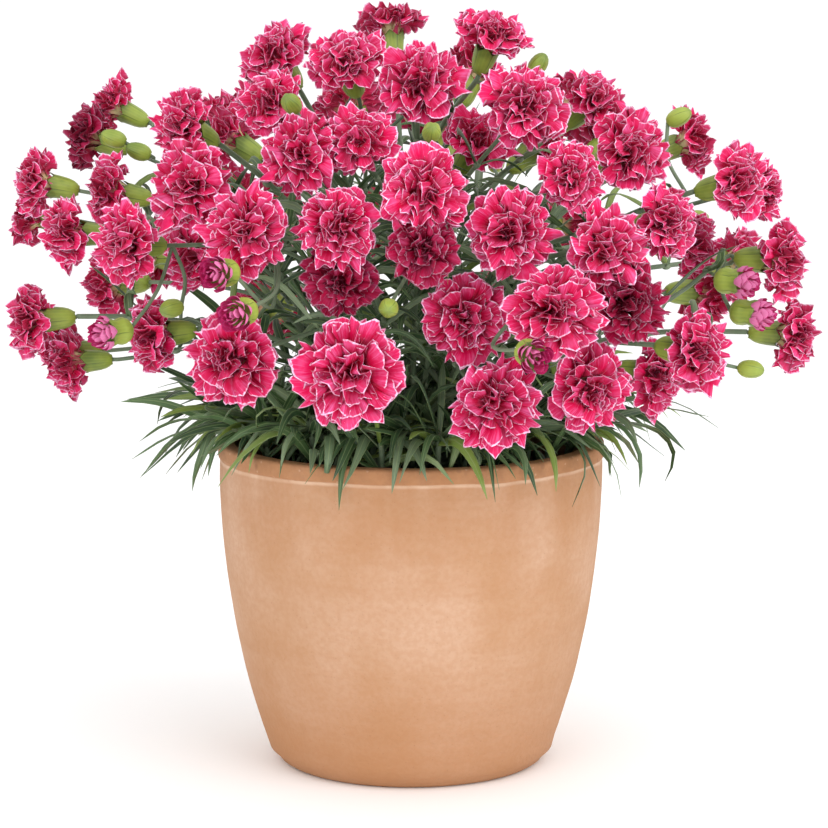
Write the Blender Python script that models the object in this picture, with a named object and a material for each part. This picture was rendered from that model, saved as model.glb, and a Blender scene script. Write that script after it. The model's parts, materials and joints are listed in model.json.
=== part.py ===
"""A dianthus plant in full bloom, grown in an egg-shaped terracotta pot.

The origin is the middle of the pot's foot, +Z is up and -Y is the side that shows best.
Lengths are metres. The pot, its soil, the plant's green body and each flower head are separate objects.
"""

import math
import random

import bmesh
import bpy
from mathutils import Vector
from mathutils.kdtree import KDTree

MM = 0.001
FIT_GAP = 0.0003
UP = Vector((0.0, 0.0, 1.0))

# Terracotta pot: a wall that leans in below the shoulder, under a plain lip
POT_HEIGHT = 0.210
RIM_RADIUS = 0.125
FOOT_RADIUS = 0.089
FOOT_ROUNDING = 0.009
# where the rounding's middle point sits, as shares of it outwards and upwards
ROUNDING_OUT, ROUNDING_UP = 0.7, 0.3
WALL = 0.011
FLOOR = 0.014
BELLY_POWER = 2.17
LIP_HEIGHT = 0.0105
LIP_STEP = 0.0012
POT_SIDES = 24
OUTER_LEVELS = 6
INNER_LEVELS = 3
INNER_CROWDING = 1.4
DRAIN_RADIUS = 0.007
DRAIN_CIRCLE = 0.040
DRAIN_COUNT = 3
DRAIN_SIDES = 12

# Soil: fills the pot to just under the rim, with one plain hole for the crown
SOIL_TOP = 0.186
MOUND_RISE = 0.004
MOUND_REACH = 0.6
CROWN_RADIUS = 0.028
CROWN_FOOT = 0.150
CROWN_TOP = 0.198
CROWN_SIDES = 12

# Flower head: five-petalled whorls, one above another, on a narrow neck
PETAL_FOLDS = 10
NECK_HEIGHT = -0.60
# reach from the axis, height and wave of each ring, as shares of the head's radius
WHORL_RINGS = [
    (0.17, NECK_HEIGHT, 0.0),
    (0.90, -0.05, 0.07),
    (0.62, 0.12, 0.0),
    (0.64, 0.48, -0.12),
]
CENTRE_HEIGHT = 0.40
WAVE_LIFT = 0.5
PETAL_JITTER = 0.025
HEART_HEIGHT = 0.330
LOWEST_FACING = -0.012

# Crowding: touching heads give way mostly in depth, and a pair's petals mingle
PAIR_CLOSENESS = 0.68
SIDEWAYS_GIVE = 0.5
CROWDING_PASSES = 150

# Stems, calyces and buds
STEM_RADIUS = 0.0015
BRANCH_RADIUS = 0.0012
STEM_SIDES = 4
ROOT_DEPTH = 0.005
ROOT_SPREAD = 0.200
ROOT_INSET = 0.85
STEM_STEPS = 4
FORK_POINT = 2
BRANCH_STEPS = 3
# how far, as shares of its span, a stem keeps its first direction and follows its last
LEAVE_SHARE, ARRIVE_SHARE = 0.4, 0.32
STEM_LEAN = 0.25
SPRAY_REACH = 0.085
SPRAY_SIZE = 3
CALYX_LENGTH = 0.019
CALYX_MOUTH = 0.0062
CALYX_BELLY = 0.0058
CALYX_FOOT = 0.0034
CALYX_BELLY_SHARE = 0.7
CALYX_ROOM = 0.0085
BUD_RADIUS = 0.0058
BUD_LENGTH = 0.017
HALF_OPEN_SCALE = 1.45
# distances from the bud's middle to its foot, belly and tip, as shares of its length
BUD_FOOT, BUD_BELLY, BUD_TIP = -0.40, -0.05, 0.46
BUD_FOOT_WIDTH, BUD_TIP_WIDTH = 0.62, 0.25
STALK_HOLD = 0.95
STALK_BEND = 0.45
STALK_SAG = 0.006
STEM_CLEARANCE = 0.004

# Leaves: narrow keeled blades with their roots sunk into a stem or a shoot
LEAF_WIDTH = 0.0058
LEAF_KEEL = 0.0013
ROOT_WIDTH = 0.0018
ROOT_KEEL = 0.0007
LEAF_CLEARANCE = 0.0045
LEAF_SHORTENING = 0.12
LEAF_STEPS = 3
STEM_LEAF_STEPS = 2
STEM_LEAF_WIDTH = 0.0049
STEM_LEAF_PLACE = 0.6
SHOOT_COUNT = 17
SHOOT_RADIUS = 0.0021
SHOOT_INSET = 0.8
SHOOT_REACHES = (0.078, 0.100)
SHOOT_MIDDLE = 0.6
SHOOT_LIFT = 0.006
SHOOT_TIP_LIFTS = (0.012, 0.020)
# place along the shoot, turn from its heading, length, rise and droop of each leaf
SHOOT_LEAVES = [
    (0.90, 0.0, 0.085, 0.45, 0.95),
    (0.70, -0.5, 0.080, 0.55, 0.90),
    (0.50, 0.5, 0.085, 0.60, 0.85),
    (0.10, -0.9, 0.075, 1.05, 0.75),
    (0.02, 0.9, 0.075, 1.15, 0.75),
]
CLEARING_PASSES = 14
TRIES = 12
SAMPLE_STEP = 0.004
ROOT_ZONE = 0.012

# Heads as (across, depth, height, radius) in millimetres; a negative depth is towards the viewer
SINGLE_HEADS = [
    (-83, -70, 458, 25), (-84, -120, 432, 23), (-38, -105, 455, 25), (4, -130, 444, 28),
    (-136, -112, 418, 24), (-127, -160, 384, 28), (-88, -190, 364, 27), (-236, -5, 376, 23),
    (-208, -96, 352, 23), (-168, -147, 350, 25), (-238, -30, 290, 24), (-104, -187, 287, 31),
    (-34, -208, 290, 32), (50, -62, 470, 24), (67, -138, 431, 28), (112, -64, 430, 23),
    (129, -138, 402, 27), (96, -172, 384, 22), (49, -202, 358, 28), (148, -155, 366, 23),
    (221, -62, 334, 26), (78, -214, 328, 29), (32, -165, 308, 27), (241, -22, 280, 24),
    (169, -145, 285, 26), (50, -190, 262, 29), (102, -180, 268, 28), (41, -52, 405, 25),
    (83, 20, 398, 24), (182, -50, 338, 24), (-136, -60, 334, 24), (-160, -62, 285, 25),
    (150, -78, 262, 25), (-188, -30, 372, 23), (-40, 85, 420, 26), (-13, 45, 474, 23),
    (40, 80, 442, 26), (-118, 50, 400, 25), (178, 20, 400, 23), (-246, 35, 350, 20),
    (-98, 185, 275, 27), (62, 192, 275, 27),
]
# Pairs whose petals mingle, as the places of both heads
PAIRED_HEADS = [
    ((-40, -205, 364, 26), (-38, -180, 334, 24)),
    ((6, -196, 380, 27), (10, -212, 348, 21)),
    ((106, -188, 352, 27), (126, -184, 318, 25)),
    ((-68, -172, 402, 26), (-27, -168, 413, 23)),
    ((190, -98, 381, 25), (222, -80, 378, 20)),
    ((-190, 42, 424, 21), (-208, 12, 400, 22)),
    ((-238, 26, 262, 23), (-206, -6, 262, 22)),
    ((-205, 95, 298, 26), (-170, 125, 318, 26)),
    ((-125, 155, 352, 26), (-90, 182, 336, 26)),
    ((-28, 208, 328, 27), (8, 205, 308, 26)),
    ((98, 180, 334, 27), (138, 165, 318, 26)),
    ((192, 108, 290, 26), (218, 72, 318, 26)),
    ((-135, 108, 404, 26), (-95, 130, 418, 26)),
    ((-5, 140, 432, 27), (32, 168, 385, 27)),
    ((100, 108, 420, 26), (146, 92, 392, 26)),
]
# Buds as (across, depth, height, half open) in millimetres
BUDS = [
    (-107, -224, 341, True), (-96, -238, 320, True), (-176, -150, 298, True), (69, -246, 302, True),
    (196, -100, 322, True), (206, -92, 303, True), (-188, -10, 404, False), (-172, -14, 396, False),
    (-70, -152, 432, False), (12, -180, 418, False), (78, -60, 452, False), (-14, -214, 318, False),
    (-142, -150, 312, False), (165, -60, 420, False), (208, -95, 268, False), (60, -120, 378, False),
    (-60, 160, 372, False), (190, 80, 345, False), (60, 205, 372, False), (-150, 100, 360, False),
]


def material(name, colour, roughness):
    """A plain finish: the object's colour and how dull it is."""
    made = bpy.data.materials.new(name)
    made.use_nodes = True
    shader = made.node_tree.nodes["Principled BSDF"]
    shader.inputs["Base Color"].default_value = (*colour, 1.0)
    shader.inputs["Roughness"].default_value = roughness
    shader.inputs["Metallic"].default_value = 0.0
    return made


def object_of(name, bm, finish=None):
    """Puts the bmesh in a new object of the scene, with its faces pointing out."""
    bmesh.ops.recalc_face_normals(bm, faces=bm.faces)
    bmesh.ops.triangulate(bm, faces=bm.faces)
    mesh = bpy.data.meshes.new(name)
    bm.to_mesh(mesh)
    bm.free()
    if finish:
        mesh.materials.append(finish)
    made = bpy.data.objects.new(name, mesh)
    bpy.context.scene.collection.objects.link(made)
    return made


def evaluated_mesh(body):
    """The body's mesh with its modifiers applied."""
    bpy.context.view_layer.update()
    graph = bpy.context.evaluated_depsgraph_get()
    return bpy.data.meshes.new_from_object(body.evaluated_get(graph))


def grown_together(name, pieces, finish):
    """One body made of the first piece and all the others, which are then removed."""
    first, others = pieces[0], pieces[1:]
    group = bpy.data.collections.new(name + "_pieces")
    bpy.context.scene.collection.children.link(group)
    for piece in others:
        bpy.context.scene.collection.objects.unlink(piece)
        group.objects.link(piece)
    union = first.modifiers.new("grown_together", "BOOLEAN")
    union.operation = "UNION"
    union.operand_type = "COLLECTION"
    union.collection = group
    union.solver = "MANIFOLD"
    mesh = evaluated_mesh(first)
    mesh.materials.clear()
    mesh.materials.append(finish)
    whole = bpy.data.objects.new(name, mesh)
    bpy.context.scene.collection.objects.link(whole)
    for piece in pieces:
        bpy.data.objects.remove(piece)
    bpy.data.collections.remove(group)
    return whole


def cut(body, cutter):
    """Cuts the cutter's shape out of the body and removes the cutter."""
    hole = body.modifiers.new("hole", "BOOLEAN")
    hole.operation = "DIFFERENCE"
    hole.solver = "EXACT"
    hole.object = cutter
    mesh = evaluated_mesh(body)
    body.modifiers.clear()
    body.data = mesh
    bpy.data.objects.remove(cutter)


def cylinder(name, centre, radius, low, high, sides):
    bm = bmesh.new()
    bmesh.ops.create_cone(
        bm, cap_ends=True, segments=sides, radius1=radius, radius2=radius, depth=high - low
    )
    bmesh.ops.translate(bm, verts=bm.verts, vec=(centre[0], centre[1], (low + high) / 2))
    return object_of(name, bm)


def wall_radius(height):
    """The pot's outer radius: widest at the shoulder, leaning in towards the foot."""
    drop = max(0.0, 1.0 - height / (POT_HEIGHT - LIP_HEIGHT))
    shoulder = RIM_RADIUS - LIP_STEP
    return shoulder - (shoulder - FOOT_RADIUS) * drop**BELLY_POWER


def inner_levels(top):
    """Heights from the floor to the top, closer together where the wall leans most."""
    steps = [(i / INNER_LEVELS) ** INNER_CROWDING for i in range(INNER_LEVELS + 1)]
    return [FLOOR + (top - FLOOR) * step for step in steps]


def turned(name, outline, finish):
    """A round body turned from (radius, height) points that start and end on the axis."""
    bm = bmesh.new()
    line = [bm.verts.new((radius, 0.0, height)) for radius, height in outline]
    edges = [bm.edges.new(pair) for pair in zip(line, line[1:])]
    bmesh.ops.spin(
        bm,
        geom=line + edges,
        angle=math.tau,
        steps=POT_SIDES,
        axis=(0, 0, 1),
        cent=(0, 0, 0),
        use_merge=True,
    )
    bmesh.ops.remove_doubles(bm, verts=bm.verts, dist=0.00001)
    return object_of(name, bm, finish)


def pot(finish):
    """The fired pot: foot, belly, lip, inner wall and floor, then its drain holes."""
    shoulder = POT_HEIGHT - LIP_HEIGHT
    rise = shoulder - FOOT_ROUNDING
    levels = [FOOT_ROUNDING + rise * i / OUTER_LEVELS for i in range(OUTER_LEVELS + 1)]
    foot = wall_radius(0) - FOOT_ROUNDING
    rounding = (foot + FOOT_ROUNDING * ROUNDING_OUT, FOOT_ROUNDING * ROUNDING_UP)
    outline = [(0.0, 0.0), (foot, 0.0), rounding]
    outline += [(wall_radius(z), z) for z in levels]
    outline += [
        (RIM_RADIUS, shoulder + LIP_STEP),
        (RIM_RADIUS, POT_HEIGHT - LIP_STEP),
        (RIM_RADIUS - LIP_STEP, POT_HEIGHT),
        (RIM_RADIUS - WALL, POT_HEIGHT),
    ]
    outline += [(wall_radius(z) - WALL, z) for z in reversed(inner_levels(SOIL_TOP))]
    outline += [(0.0, FLOOR)]
    body = turned("pot", outline, finish)
    for i in range(DRAIN_COUNT):
        turn = math.tau * (i + 0.5) / DRAIN_COUNT
        place = (DRAIN_CIRCLE * math.cos(turn), DRAIN_CIRCLE * math.sin(turn))
        cut(body, cylinder("drain", place, DRAIN_RADIUS, -FLOOR, 2 * FLOOR, DRAIN_SIDES))
    return body


def soil(finish):
    """Potting soil: the pot's inside up to a low mound, with a plain hole for the crown."""
    edge = wall_radius(SOIL_TOP) - WALL - FIT_GAP
    mound = (edge * MOUND_REACH, SOIL_TOP + MOUND_RISE)
    outline = [(0.0, FLOOR + FIT_GAP)]
    outline += [(wall_radius(z) - WALL - FIT_GAP, z + FIT_GAP) for z in inner_levels(SOIL_TOP)]
    outline += [mound, (0.0, SOIL_TOP + MOUND_RISE)]
    body = turned("soil", outline, finish)
    hole = CROWN_RADIUS + FIT_GAP
    cut(body, cylinder("crown_hole", (0, 0), hole, CROWN_FOOT - FIT_GAP, POT_HEIGHT, CROWN_SIDES))
    return body


class Head:
    """A flower head or a bud: where it sits, how much room it takes and which way it faces."""

    def __init__(self, place, radius, is_bud=False):
        self.centre = Vector(place) * MM
        self.radius = radius
        self.is_bud = is_bud
        self.partner = None

    @property
    def facing(self):
        """Outwards from the heart of the plant, and never far below level."""
        rise = max(self.centre.z - HEART_HEIGHT, LOWEST_FACING)
        return Vector((self.centre.x, self.centre.y, rise)).normalized()

    def calyx(self, share):
        """A point on the calyx axis, from 0 at its mouth, just clear of the petals, to 1 at its foot."""
        return self.centre + self.facing * (NECK_HEIGHT * self.radius - FIT_GAP - CALYX_LENGTH * share)


def ease_apart(one, other, apart, wanted):
    """Moves both bodies half of what they lack, or hold too much, of the wanted distance."""
    push = apart.normalized() * (wanted - apart.length) / 2
    push.x *= SIDEWAYS_GIVE
    push.z *= SIDEWAYS_GIVE
    one.centre -= push
    other.centre += push


def settle(bodies):
    """Lets crowded heads, calyces and buds push each other aside until none overlap."""
    for _ in range(CROWDING_PASSES):
        for i, one in enumerate(bodies):
            for other in bodies[i + 1 :]:
                apart = other.centre - one.centre
                room = one.radius + other.radius + FIT_GAP
                if apart.length > room + 2 * CALYX_LENGTH:
                    continue
                if one.partner is other:
                    ease_apart(one, other, apart, room * PAIR_CLOSENESS)
                elif apart.length < room:
                    ease_apart(one, other, apart, room)
                for cup, ball, sign in ((one, other, 1), (other, one, -1)):
                    reach = (ball.centre - cup.calyx(0.5)) * sign
                    room = ball.radius + CALYX_ROOM
                    if not cup.is_bud and reach.length < room:
                        ease_apart(one, other, reach, room)


def settled_heads_and_buds():
    """Every head and bud at its final place, with pairs linked."""
    heads = [Head(place[:3], place[3] * MM) for place in SINGLE_HEADS]
    for first_place, second_place in PAIRED_HEADS:
        first = Head(first_place[:3], first_place[3] * MM)
        second = Head(second_place[:3], second_place[3] * MM)
        first.partner, second.partner = second, first
        heads += [first, second]
    buds = []
    for x, y, z, half_open in BUDS:
        scale = HALF_OPEN_SCALE if half_open else 1.0
        buds.append(Head((x, y, z), BUD_LENGTH * scale / 2, is_bud=True))
    settle(heads + buds)
    return heads, buds


def head_object(name, head, rng, finish):
    """A ball whose rings are drawn out into waved whorls, one above another, over a narrow neck."""
    bm = bmesh.new()
    rings = len(WHORL_RINGS)
    bmesh.ops.create_uvsphere(bm, u_segments=PETAL_FOLDS, v_segments=rings + 1, radius=1.0)
    turn = rng.uniform(0, math.tau)
    for vert in bm.verts:
        level = round((1 - math.acos(max(-1.0, min(1.0, vert.co.z))) / math.pi) * (rings + 1))
        around = math.atan2(vert.co.y, vert.co.x)
        if level == 0:
            reach, height = 0.0, NECK_HEIGHT
        elif level > rings:
            reach, height = 0.0, CENTRE_HEIGHT
        else:
            reach, height, wave = WHORL_RINGS[level - 1]
            side = 1 if round(around / math.tau * PETAL_FOLDS) % 2 else -1
            loose = PETAL_JITTER if level > 1 else 0.0
            reach += wave * side + rng.uniform(-loose, loose)
            height += abs(wave) * side * WAVE_LIFT + rng.uniform(-loose, loose)
        turned_to = Vector((math.cos(around + turn), math.sin(around + turn), 0))
        vert.co = (turned_to * reach + UP * height) * head.radius
    bm.transform(head.facing.to_track_quat("Z", "Y").to_matrix().to_4x4())
    bmesh.ops.translate(bm, verts=bm.verts, vec=head.centre)
    return object_of(name, bm, finish)


def curve(start, leave, arrive, end, steps):
    """Points of the smooth curve from start to end that leaves and arrives towards the two guides."""
    points = []
    for i in range(steps + 1):
        t = i / steps
        s = 1 - t
        points.append(start * s**3 + leave * 3 * s * s * t + arrive * 3 * s * t * t + end * t**3)
    return points


def push_from_pot(point, clearance):
    """The way out of the pot's rim, or up off the soil, for a point that is too close."""
    reach = math.hypot(point.x, point.y)
    if point.z > POT_HEIGHT + clearance or reach > RIM_RADIUS + clearance:
        return Vector()
    if reach > RIM_RADIUS - clearance:
        return Vector((point.x, point.y, 0)).normalized() * (RIM_RADIUS + clearance - reach)
    if reach > RIM_RADIUS - WALL - clearance:
        return UP * (POT_HEIGHT + clearance - point.z)
    return UP * max(0.0, SOIL_TOP + MOUND_RISE + clearance - point.z)


def cleared(points, fixed, bodies, clearance):
    """The route bent clear of the given bodies, the rim and the soil; the fixed points stay."""
    route = [point.copy() for point in points]
    for _ in range(CLEARING_PASSES):
        moved = False
        for i in range(len(route) - 1):
            for share in (0.0, 0.25, 0.5, 0.75, 1.0):
                sample = route[i].lerp(route[i + 1], share)
                push = push_from_pot(sample, clearance)
                for body in bodies:
                    away = sample - body.centre
                    lacking = body.radius + clearance - away.length
                    if lacking > 0:
                        push = push + away.normalized() * lacking
                if push.length > 0:
                    moved = True
                    if i not in fixed:
                        route[i] += push * (1 - share)
                    if i + 1 not in fixed:
                        route[i + 1] += push * share
        if not moved:
            break
    return route


def tube(name, points, radii, sides):
    """A closed tube along the points, one ring of the given radius at each."""
    bm = bmesh.new()
    rings = []
    side = (points[1] - points[0]).orthogonal()
    for i, (point, radius) in enumerate(zip(points, radii)):
        ahead = (points[min(i + 1, len(points) - 1)] - points[max(i - 1, 0)]).normalized()
        side = (side - ahead * side.dot(ahead)).normalized()
        across = ahead.cross(side)
        turns = [math.tau * (k + 0.5) / sides for k in range(sides)]
        rings.append(
            [bm.verts.new(point + (side * math.cos(a) + across * math.sin(a)) * radius) for a in turns]
        )
    for low, high in zip(rings, rings[1:]):
        for k in range(sides):
            bm.faces.new((low[k], low[(k + 1) % sides], high[(k + 1) % sides], high[k]))
    bm.faces.new(rings[0][::-1])
    bm.faces.new(rings[-1])
    return object_of(name, bm)


def leaf(name, points, width):
    """A keeled leaf: a three-sided body from its root, through its widest part, to its tip."""
    level = (points[-1] - points[0]).cross(UP).normalized()
    bm = bmesh.new()
    rings = []
    for i in range(len(points) - 1):
        ahead = (points[i + 1] - points[max(i - 1, 0)]).normalized()
        side = (level - ahead * level.dot(ahead)).normalized()
        under = ahead.cross(side).normalized()
        half = side * (width if i else ROOT_WIDTH) / 2
        keel = under * (LEAF_KEEL if i else ROOT_KEEL)
        corners = (points[i] - half, points[i] + half, points[i] + keel)
        rings.append([bm.verts.new(corner) for corner in corners])
    for low, high in zip(rings, rings[1:]):
        for k in range(3):
            bm.faces.new((low[k], low[(k + 1) % 3], high[(k + 1) % 3], high[k]))
    bm.faces.new(rings[0])
    tip = bm.verts.new(points[-1])
    for k in range(3):
        bm.faces.new((rings[-1][k], rings[-1][(k + 1) % 3], tip))
    return object_of(name, bm)


def leaf_route(root, turn, length, rise, droop, steps):
    """Points of a leaf that leaves its stem rising and arches over under its own weight."""
    heading = Vector((math.cos(turn), math.sin(turn), 0))
    points = []
    for i in range(steps + 1):
        t = i / steps
        along = heading * t * (1 - LEAF_SHORTENING * t)
        points.append(root + (along + UP * (rise * t - droop * t * t)) * length)
    return points


class Growth:
    """Every stem and leaf so far, so that the next leaf can be given a free way."""

    def __init__(self, bodies):
        self.bodies = bodies
        self.samples = []
        self.pieces = []

    def add(self, piece, points):
        self.pieces.append(piece)
        for start, end in zip(points, points[1:]):
            count = max(1, round((end - start).length / SAMPLE_STEP))
            self.samples += [start.lerp(end, i / count) for i in range(count + 1)]

    def nearness(self):
        tree = KDTree(len(self.samples))
        for i, sample in enumerate(self.samples):
            tree.insert(sample, i)
        tree.balance()
        return tree

    def room_around(self, points, tree):
        """The least distance from the route, past its root, to what has grown and to any head."""
        least = 1.0
        for start, end in zip(points, points[1:]):
            for share in (0.25, 0.5, 0.75, 1.0):
                sample = start.lerp(end, share)
                if (sample - points[0]).length < ROOT_ZONE:
                    continue
                least = min(least, tree.find(sample)[2])
                for body in self.bodies:
                    least = min(least, (sample - body.centre).length - body.radius)
        return least

    def add_best_leaf(self, ways, width):
        """Grows a leaf along whichever of the ways has most room."""
        tree = self.nearness()
        best = max(ways, key=lambda way: self.room_around(way, tree))
        way = cleared(best, {0}, self.bodies, LEAF_CLEARANCE)
        self.add(leaf("leaf", way, width), way)


def sprays(heads):
    """Heads gathered in small groups, neighbours first, each led by its highest head."""
    waiting = sorted(heads, key=lambda head: -head.centre.z)
    found = []
    while waiting:
        leader = waiting.pop(0)
        near = sorted(waiting, key=lambda head: (head.centre - leader.centre).length)
        followers = [
            head for head in near[: SPRAY_SIZE - 1] if (head.centre - leader.centre).length < SPRAY_REACH
        ]
        for head in followers:
            waiting.remove(head)
        found.append((leader, followers))
    return found


def stem_with_calyx(name, route, head, radius):
    """A stem along the route that widens into the calyx, whose flat mouth meets the petals."""
    points = route + [head.calyx(CALYX_BELLY_SHARE), head.calyx(0)]
    radii = [radius] * (len(route) - 1) + [CALYX_FOOT, CALYX_BELLY, CALYX_MOUTH]
    return tube(name, points, radii, STEM_SIDES)


def stem_route(start, leave, head, steps, bodies):
    """From the start, in the direction given, to the calyx foot, which it meets from behind."""
    end = head.calyx(1)
    span = (end - start).length
    guide = start + leave.normalized() * span * LEAVE_SHARE
    route = curve(start, guide, end - head.facing * span * ARRIVE_SHARE, end, steps)
    others = [body for body in bodies if body is not head]
    return cleared(route, {0, steps}, others, STEM_CLEARANCE)


def grow_stems(growth, heads):
    """Stems from the crown to each spray's highest head, with a branch to each of its others."""
    routes = []
    for leader, followers in sprays(heads):
        outward = Vector((leader.centre.x, leader.centre.y, 0))
        edge = CROWN_RADIUS * ROOT_INSET * min(1.0, outward.length / ROOT_SPREAD)
        root = outward.normalized() * edge + UP * (CROWN_TOP - ROOT_DEPTH)
        lean = UP + leader.facing * STEM_LEAN
        route = stem_route(root, lean, leader, STEM_STEPS, growth.bodies)
        growth.add(stem_with_calyx("stem", route, leader, STEM_RADIUS), route)
        routes.append(route)
        fork, beyond = route[FORK_POINT : FORK_POINT + 2]
        for head in followers:
            leave = (beyond - fork).normalized() + (head.calyx(1) - fork).normalized()
            branch = stem_route(fork, leave, head, BRANCH_STEPS, growth.bodies)
            growth.add(stem_with_calyx("branch", branch, head, BRANCH_RADIUS), branch)
    return routes


def grow_stem_leaves(growth, routes, rng):
    """A leaf on either side of each stem, at its joint."""
    for route in routes:
        joint = route[1].lerp(route[2], STEM_LEAF_PLACE)
        swing = rng.uniform(0, math.pi)
        for side in (0, math.pi):
            ways = []
            for _ in range(TRIES):
                turn = swing + side + rng.uniform(-1.2, 1.2)
                length, rise = rng.uniform(0.045, 0.065), rng.uniform(0.5, 1.2)
                droop = rng.uniform(0.4, 0.8)
                ways.append(leaf_route(joint, turn, length, rise, droop, STEM_LEAF_STEPS))
            growth.add_best_leaf(ways, STEM_LEAF_WIDTH)


def grow_leafy_shoots(growth, rng):
    """Short shoots that fan out over the soil and hang their leaves over the rim."""
    for i in range(SHOOT_COUNT):
        turn = math.tau * (i + rng.uniform(-0.2, 0.2)) / SHOOT_COUNT
        out = Vector((math.cos(turn), math.sin(turn), 0))
        reach = SHOOT_REACHES[i % 2]
        root = out * CROWN_RADIUS * SHOOT_INSET + UP * (CROWN_TOP - ROOT_DEPTH)
        middle = out * reach * SHOOT_MIDDLE + UP * (CROWN_TOP + SHOOT_LIFT)
        tip = out * reach + UP * (POT_HEIGHT + rng.uniform(*SHOOT_TIP_LIFTS))
        shoot = [root, middle, tip]
        growth.add(tube("shoot", shoot, [SHOOT_RADIUS] * 3, STEM_SIDES), shoot)
        for share, swing, length, rise, droop in SHOOT_LEAVES:
            start = middle.lerp(tip, share)
            ways = []
            for _ in range(TRIES):
                angle = turn + swing + rng.uniform(-0.35, 0.35)
                loose, lift = rng.uniform(0.85, 1.15), rng.uniform(0.8, 1.3)
                ways.append(leaf_route(start, angle, length * loose, rise * lift, droop, LEAF_STEPS))
            growth.add_best_leaf(ways, LEAF_WIDTH)


def buds_on_stalks(buds, heads):
    """Egg-shaped buds, each on a short stalk from the foot of the nearest calyx."""
    pieces = []
    for bud in buds:
        length = 2 * bud.radius
        width = BUD_RADIUS * length / BUD_LENGTH
        head = min(heads, key=lambda head: (head.calyx(1) - bud.centre).length)
        shares = (BUD_FOOT, BUD_BELLY, BUD_TIP)
        foot, belly, tip = [bud.centre + bud.facing * length * share for share in shares]
        holder = head.calyx(STALK_HOLD)
        bend = foot.lerp(holder, STALK_BEND) - bud.facing * STALK_SAG
        stalk = cleared([holder, bend, foot], {0, 2}, heads, STEM_CLEARANCE)
        radii = [BRANCH_RADIUS, BRANCH_RADIUS, width * BUD_FOOT_WIDTH, width, width * BUD_TIP_WIDTH]
        pieces.append(tube("bud", stalk + [belly, tip], radii, STEM_SIDES))
    return pieces


def plant(heads, buds, finish):
    """The green body: crown, stems, branches, calyces, buds, shoots and leaves, grown as one."""
    rng = random.Random(11)
    growth = Growth(heads + buds)
    crown = cylinder("crown", (0, 0), CROWN_RADIUS, CROWN_FOOT, CROWN_TOP, CROWN_SIDES)
    growth.add(crown, [UP * CROWN_FOOT, UP * CROWN_TOP])
    routes = grow_stems(growth, heads)
    grow_leafy_shoots(growth, rng)
    grow_stem_leaves(growth, routes, rng)
    return grown_together("plant", growth.pieces + buds_on_stalks(buds, heads), finish)


def flower_heads(heads, finish):
    """One object for each single head, and one for each pair whose petals mingle."""
    rng = random.Random(5)
    singles = [head for head in heads if head.partner is None]
    for number, head in enumerate(singles, 1):
        head_object(f"bloom_{number:02d}", head, rng, finish)
    paired = [head for head in heads if head.partner]
    for number, (first, second) in enumerate(zip(paired[::2], paired[1::2]), 1):
        both = [head_object("head", one, rng, finish) for one in (first, second)]
        grown_together(f"bloom_pair_{number:02d}", both, finish)


def main():
    for old in list(bpy.data.objects):
        bpy.data.objects.remove(old)
    terracotta = material("terracotta", (0.72, 0.42, 0.24), 0.85)
    earth = material("soil", (0.035, 0.022, 0.014), 0.95)
    green = material("leaf_green", (0.10, 0.20, 0.08), 0.5)
    crimson = material("petal_crimson", (0.60, 0.015, 0.09), 0.6)
    pot(terracotta)
    soil(earth)
    heads, buds = settled_heads_and_buds()
    plant(heads, buds, green)
    flower_heads(heads, crimson)


main()
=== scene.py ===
# %% [markdown]
# # A dianthus in full bloom, in its terracotta pot
#
# The real thing is a bushy garden dianthus with about seventy double flowers, grown in a round
# clay pot. The CAD part gives every head its place and size, and the pot its shape. This script
# dresses that frame: petals with white toothed edges, narrow blue-green leaves, jointed stems,
# ribbed calyces, and clay with the marks of its making.

import json
import math
import random
from typing import NamedTuple

import bmesh
import bpy
from mathutils import Matrix, Vector, noise
from mathutils.kdtree import KDTree

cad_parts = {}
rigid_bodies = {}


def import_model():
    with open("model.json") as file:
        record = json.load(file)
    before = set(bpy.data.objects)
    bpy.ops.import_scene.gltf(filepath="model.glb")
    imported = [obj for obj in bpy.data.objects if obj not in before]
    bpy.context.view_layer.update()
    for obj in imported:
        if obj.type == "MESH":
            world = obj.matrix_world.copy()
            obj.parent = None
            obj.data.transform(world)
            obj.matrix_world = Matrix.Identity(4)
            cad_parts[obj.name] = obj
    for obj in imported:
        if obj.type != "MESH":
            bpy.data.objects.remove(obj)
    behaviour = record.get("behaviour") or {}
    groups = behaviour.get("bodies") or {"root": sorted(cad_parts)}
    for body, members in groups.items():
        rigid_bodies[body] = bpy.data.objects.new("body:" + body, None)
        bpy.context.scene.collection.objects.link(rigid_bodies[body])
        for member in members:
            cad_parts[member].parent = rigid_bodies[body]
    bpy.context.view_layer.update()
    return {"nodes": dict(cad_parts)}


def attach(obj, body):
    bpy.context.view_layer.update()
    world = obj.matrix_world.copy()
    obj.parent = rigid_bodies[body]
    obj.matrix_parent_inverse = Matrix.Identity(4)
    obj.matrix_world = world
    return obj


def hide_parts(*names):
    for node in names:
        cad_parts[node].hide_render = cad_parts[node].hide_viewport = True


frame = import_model()
MM = 0.001
UP = Vector((0.0, 0.0, 1.0))

# %% [markdown]
# ## The camera
#
# The photograph was taken from about two metres away with a long lens, from a little above the
# flowers. The numbers come from the pot: its round lip and foot show as ellipses, and how flat
# they are tells how high the camera stood.

# %% Camera
CAMERA_DISTANCE = 1.98
CAMERA_HEIGHT = 0.527
CAMERA_PITCH = math.radians(8.65)
CAMERA_YAW = math.radians(0.055)
SENSOR_WIDTH = 36.0
FOCAL_LENGTH = 134.9


def scene_object(name, data):
    """A new object of the scene that holds the data."""
    made = bpy.data.objects.new(name, data)
    bpy.context.scene.collection.objects.link(made)
    return made


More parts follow.
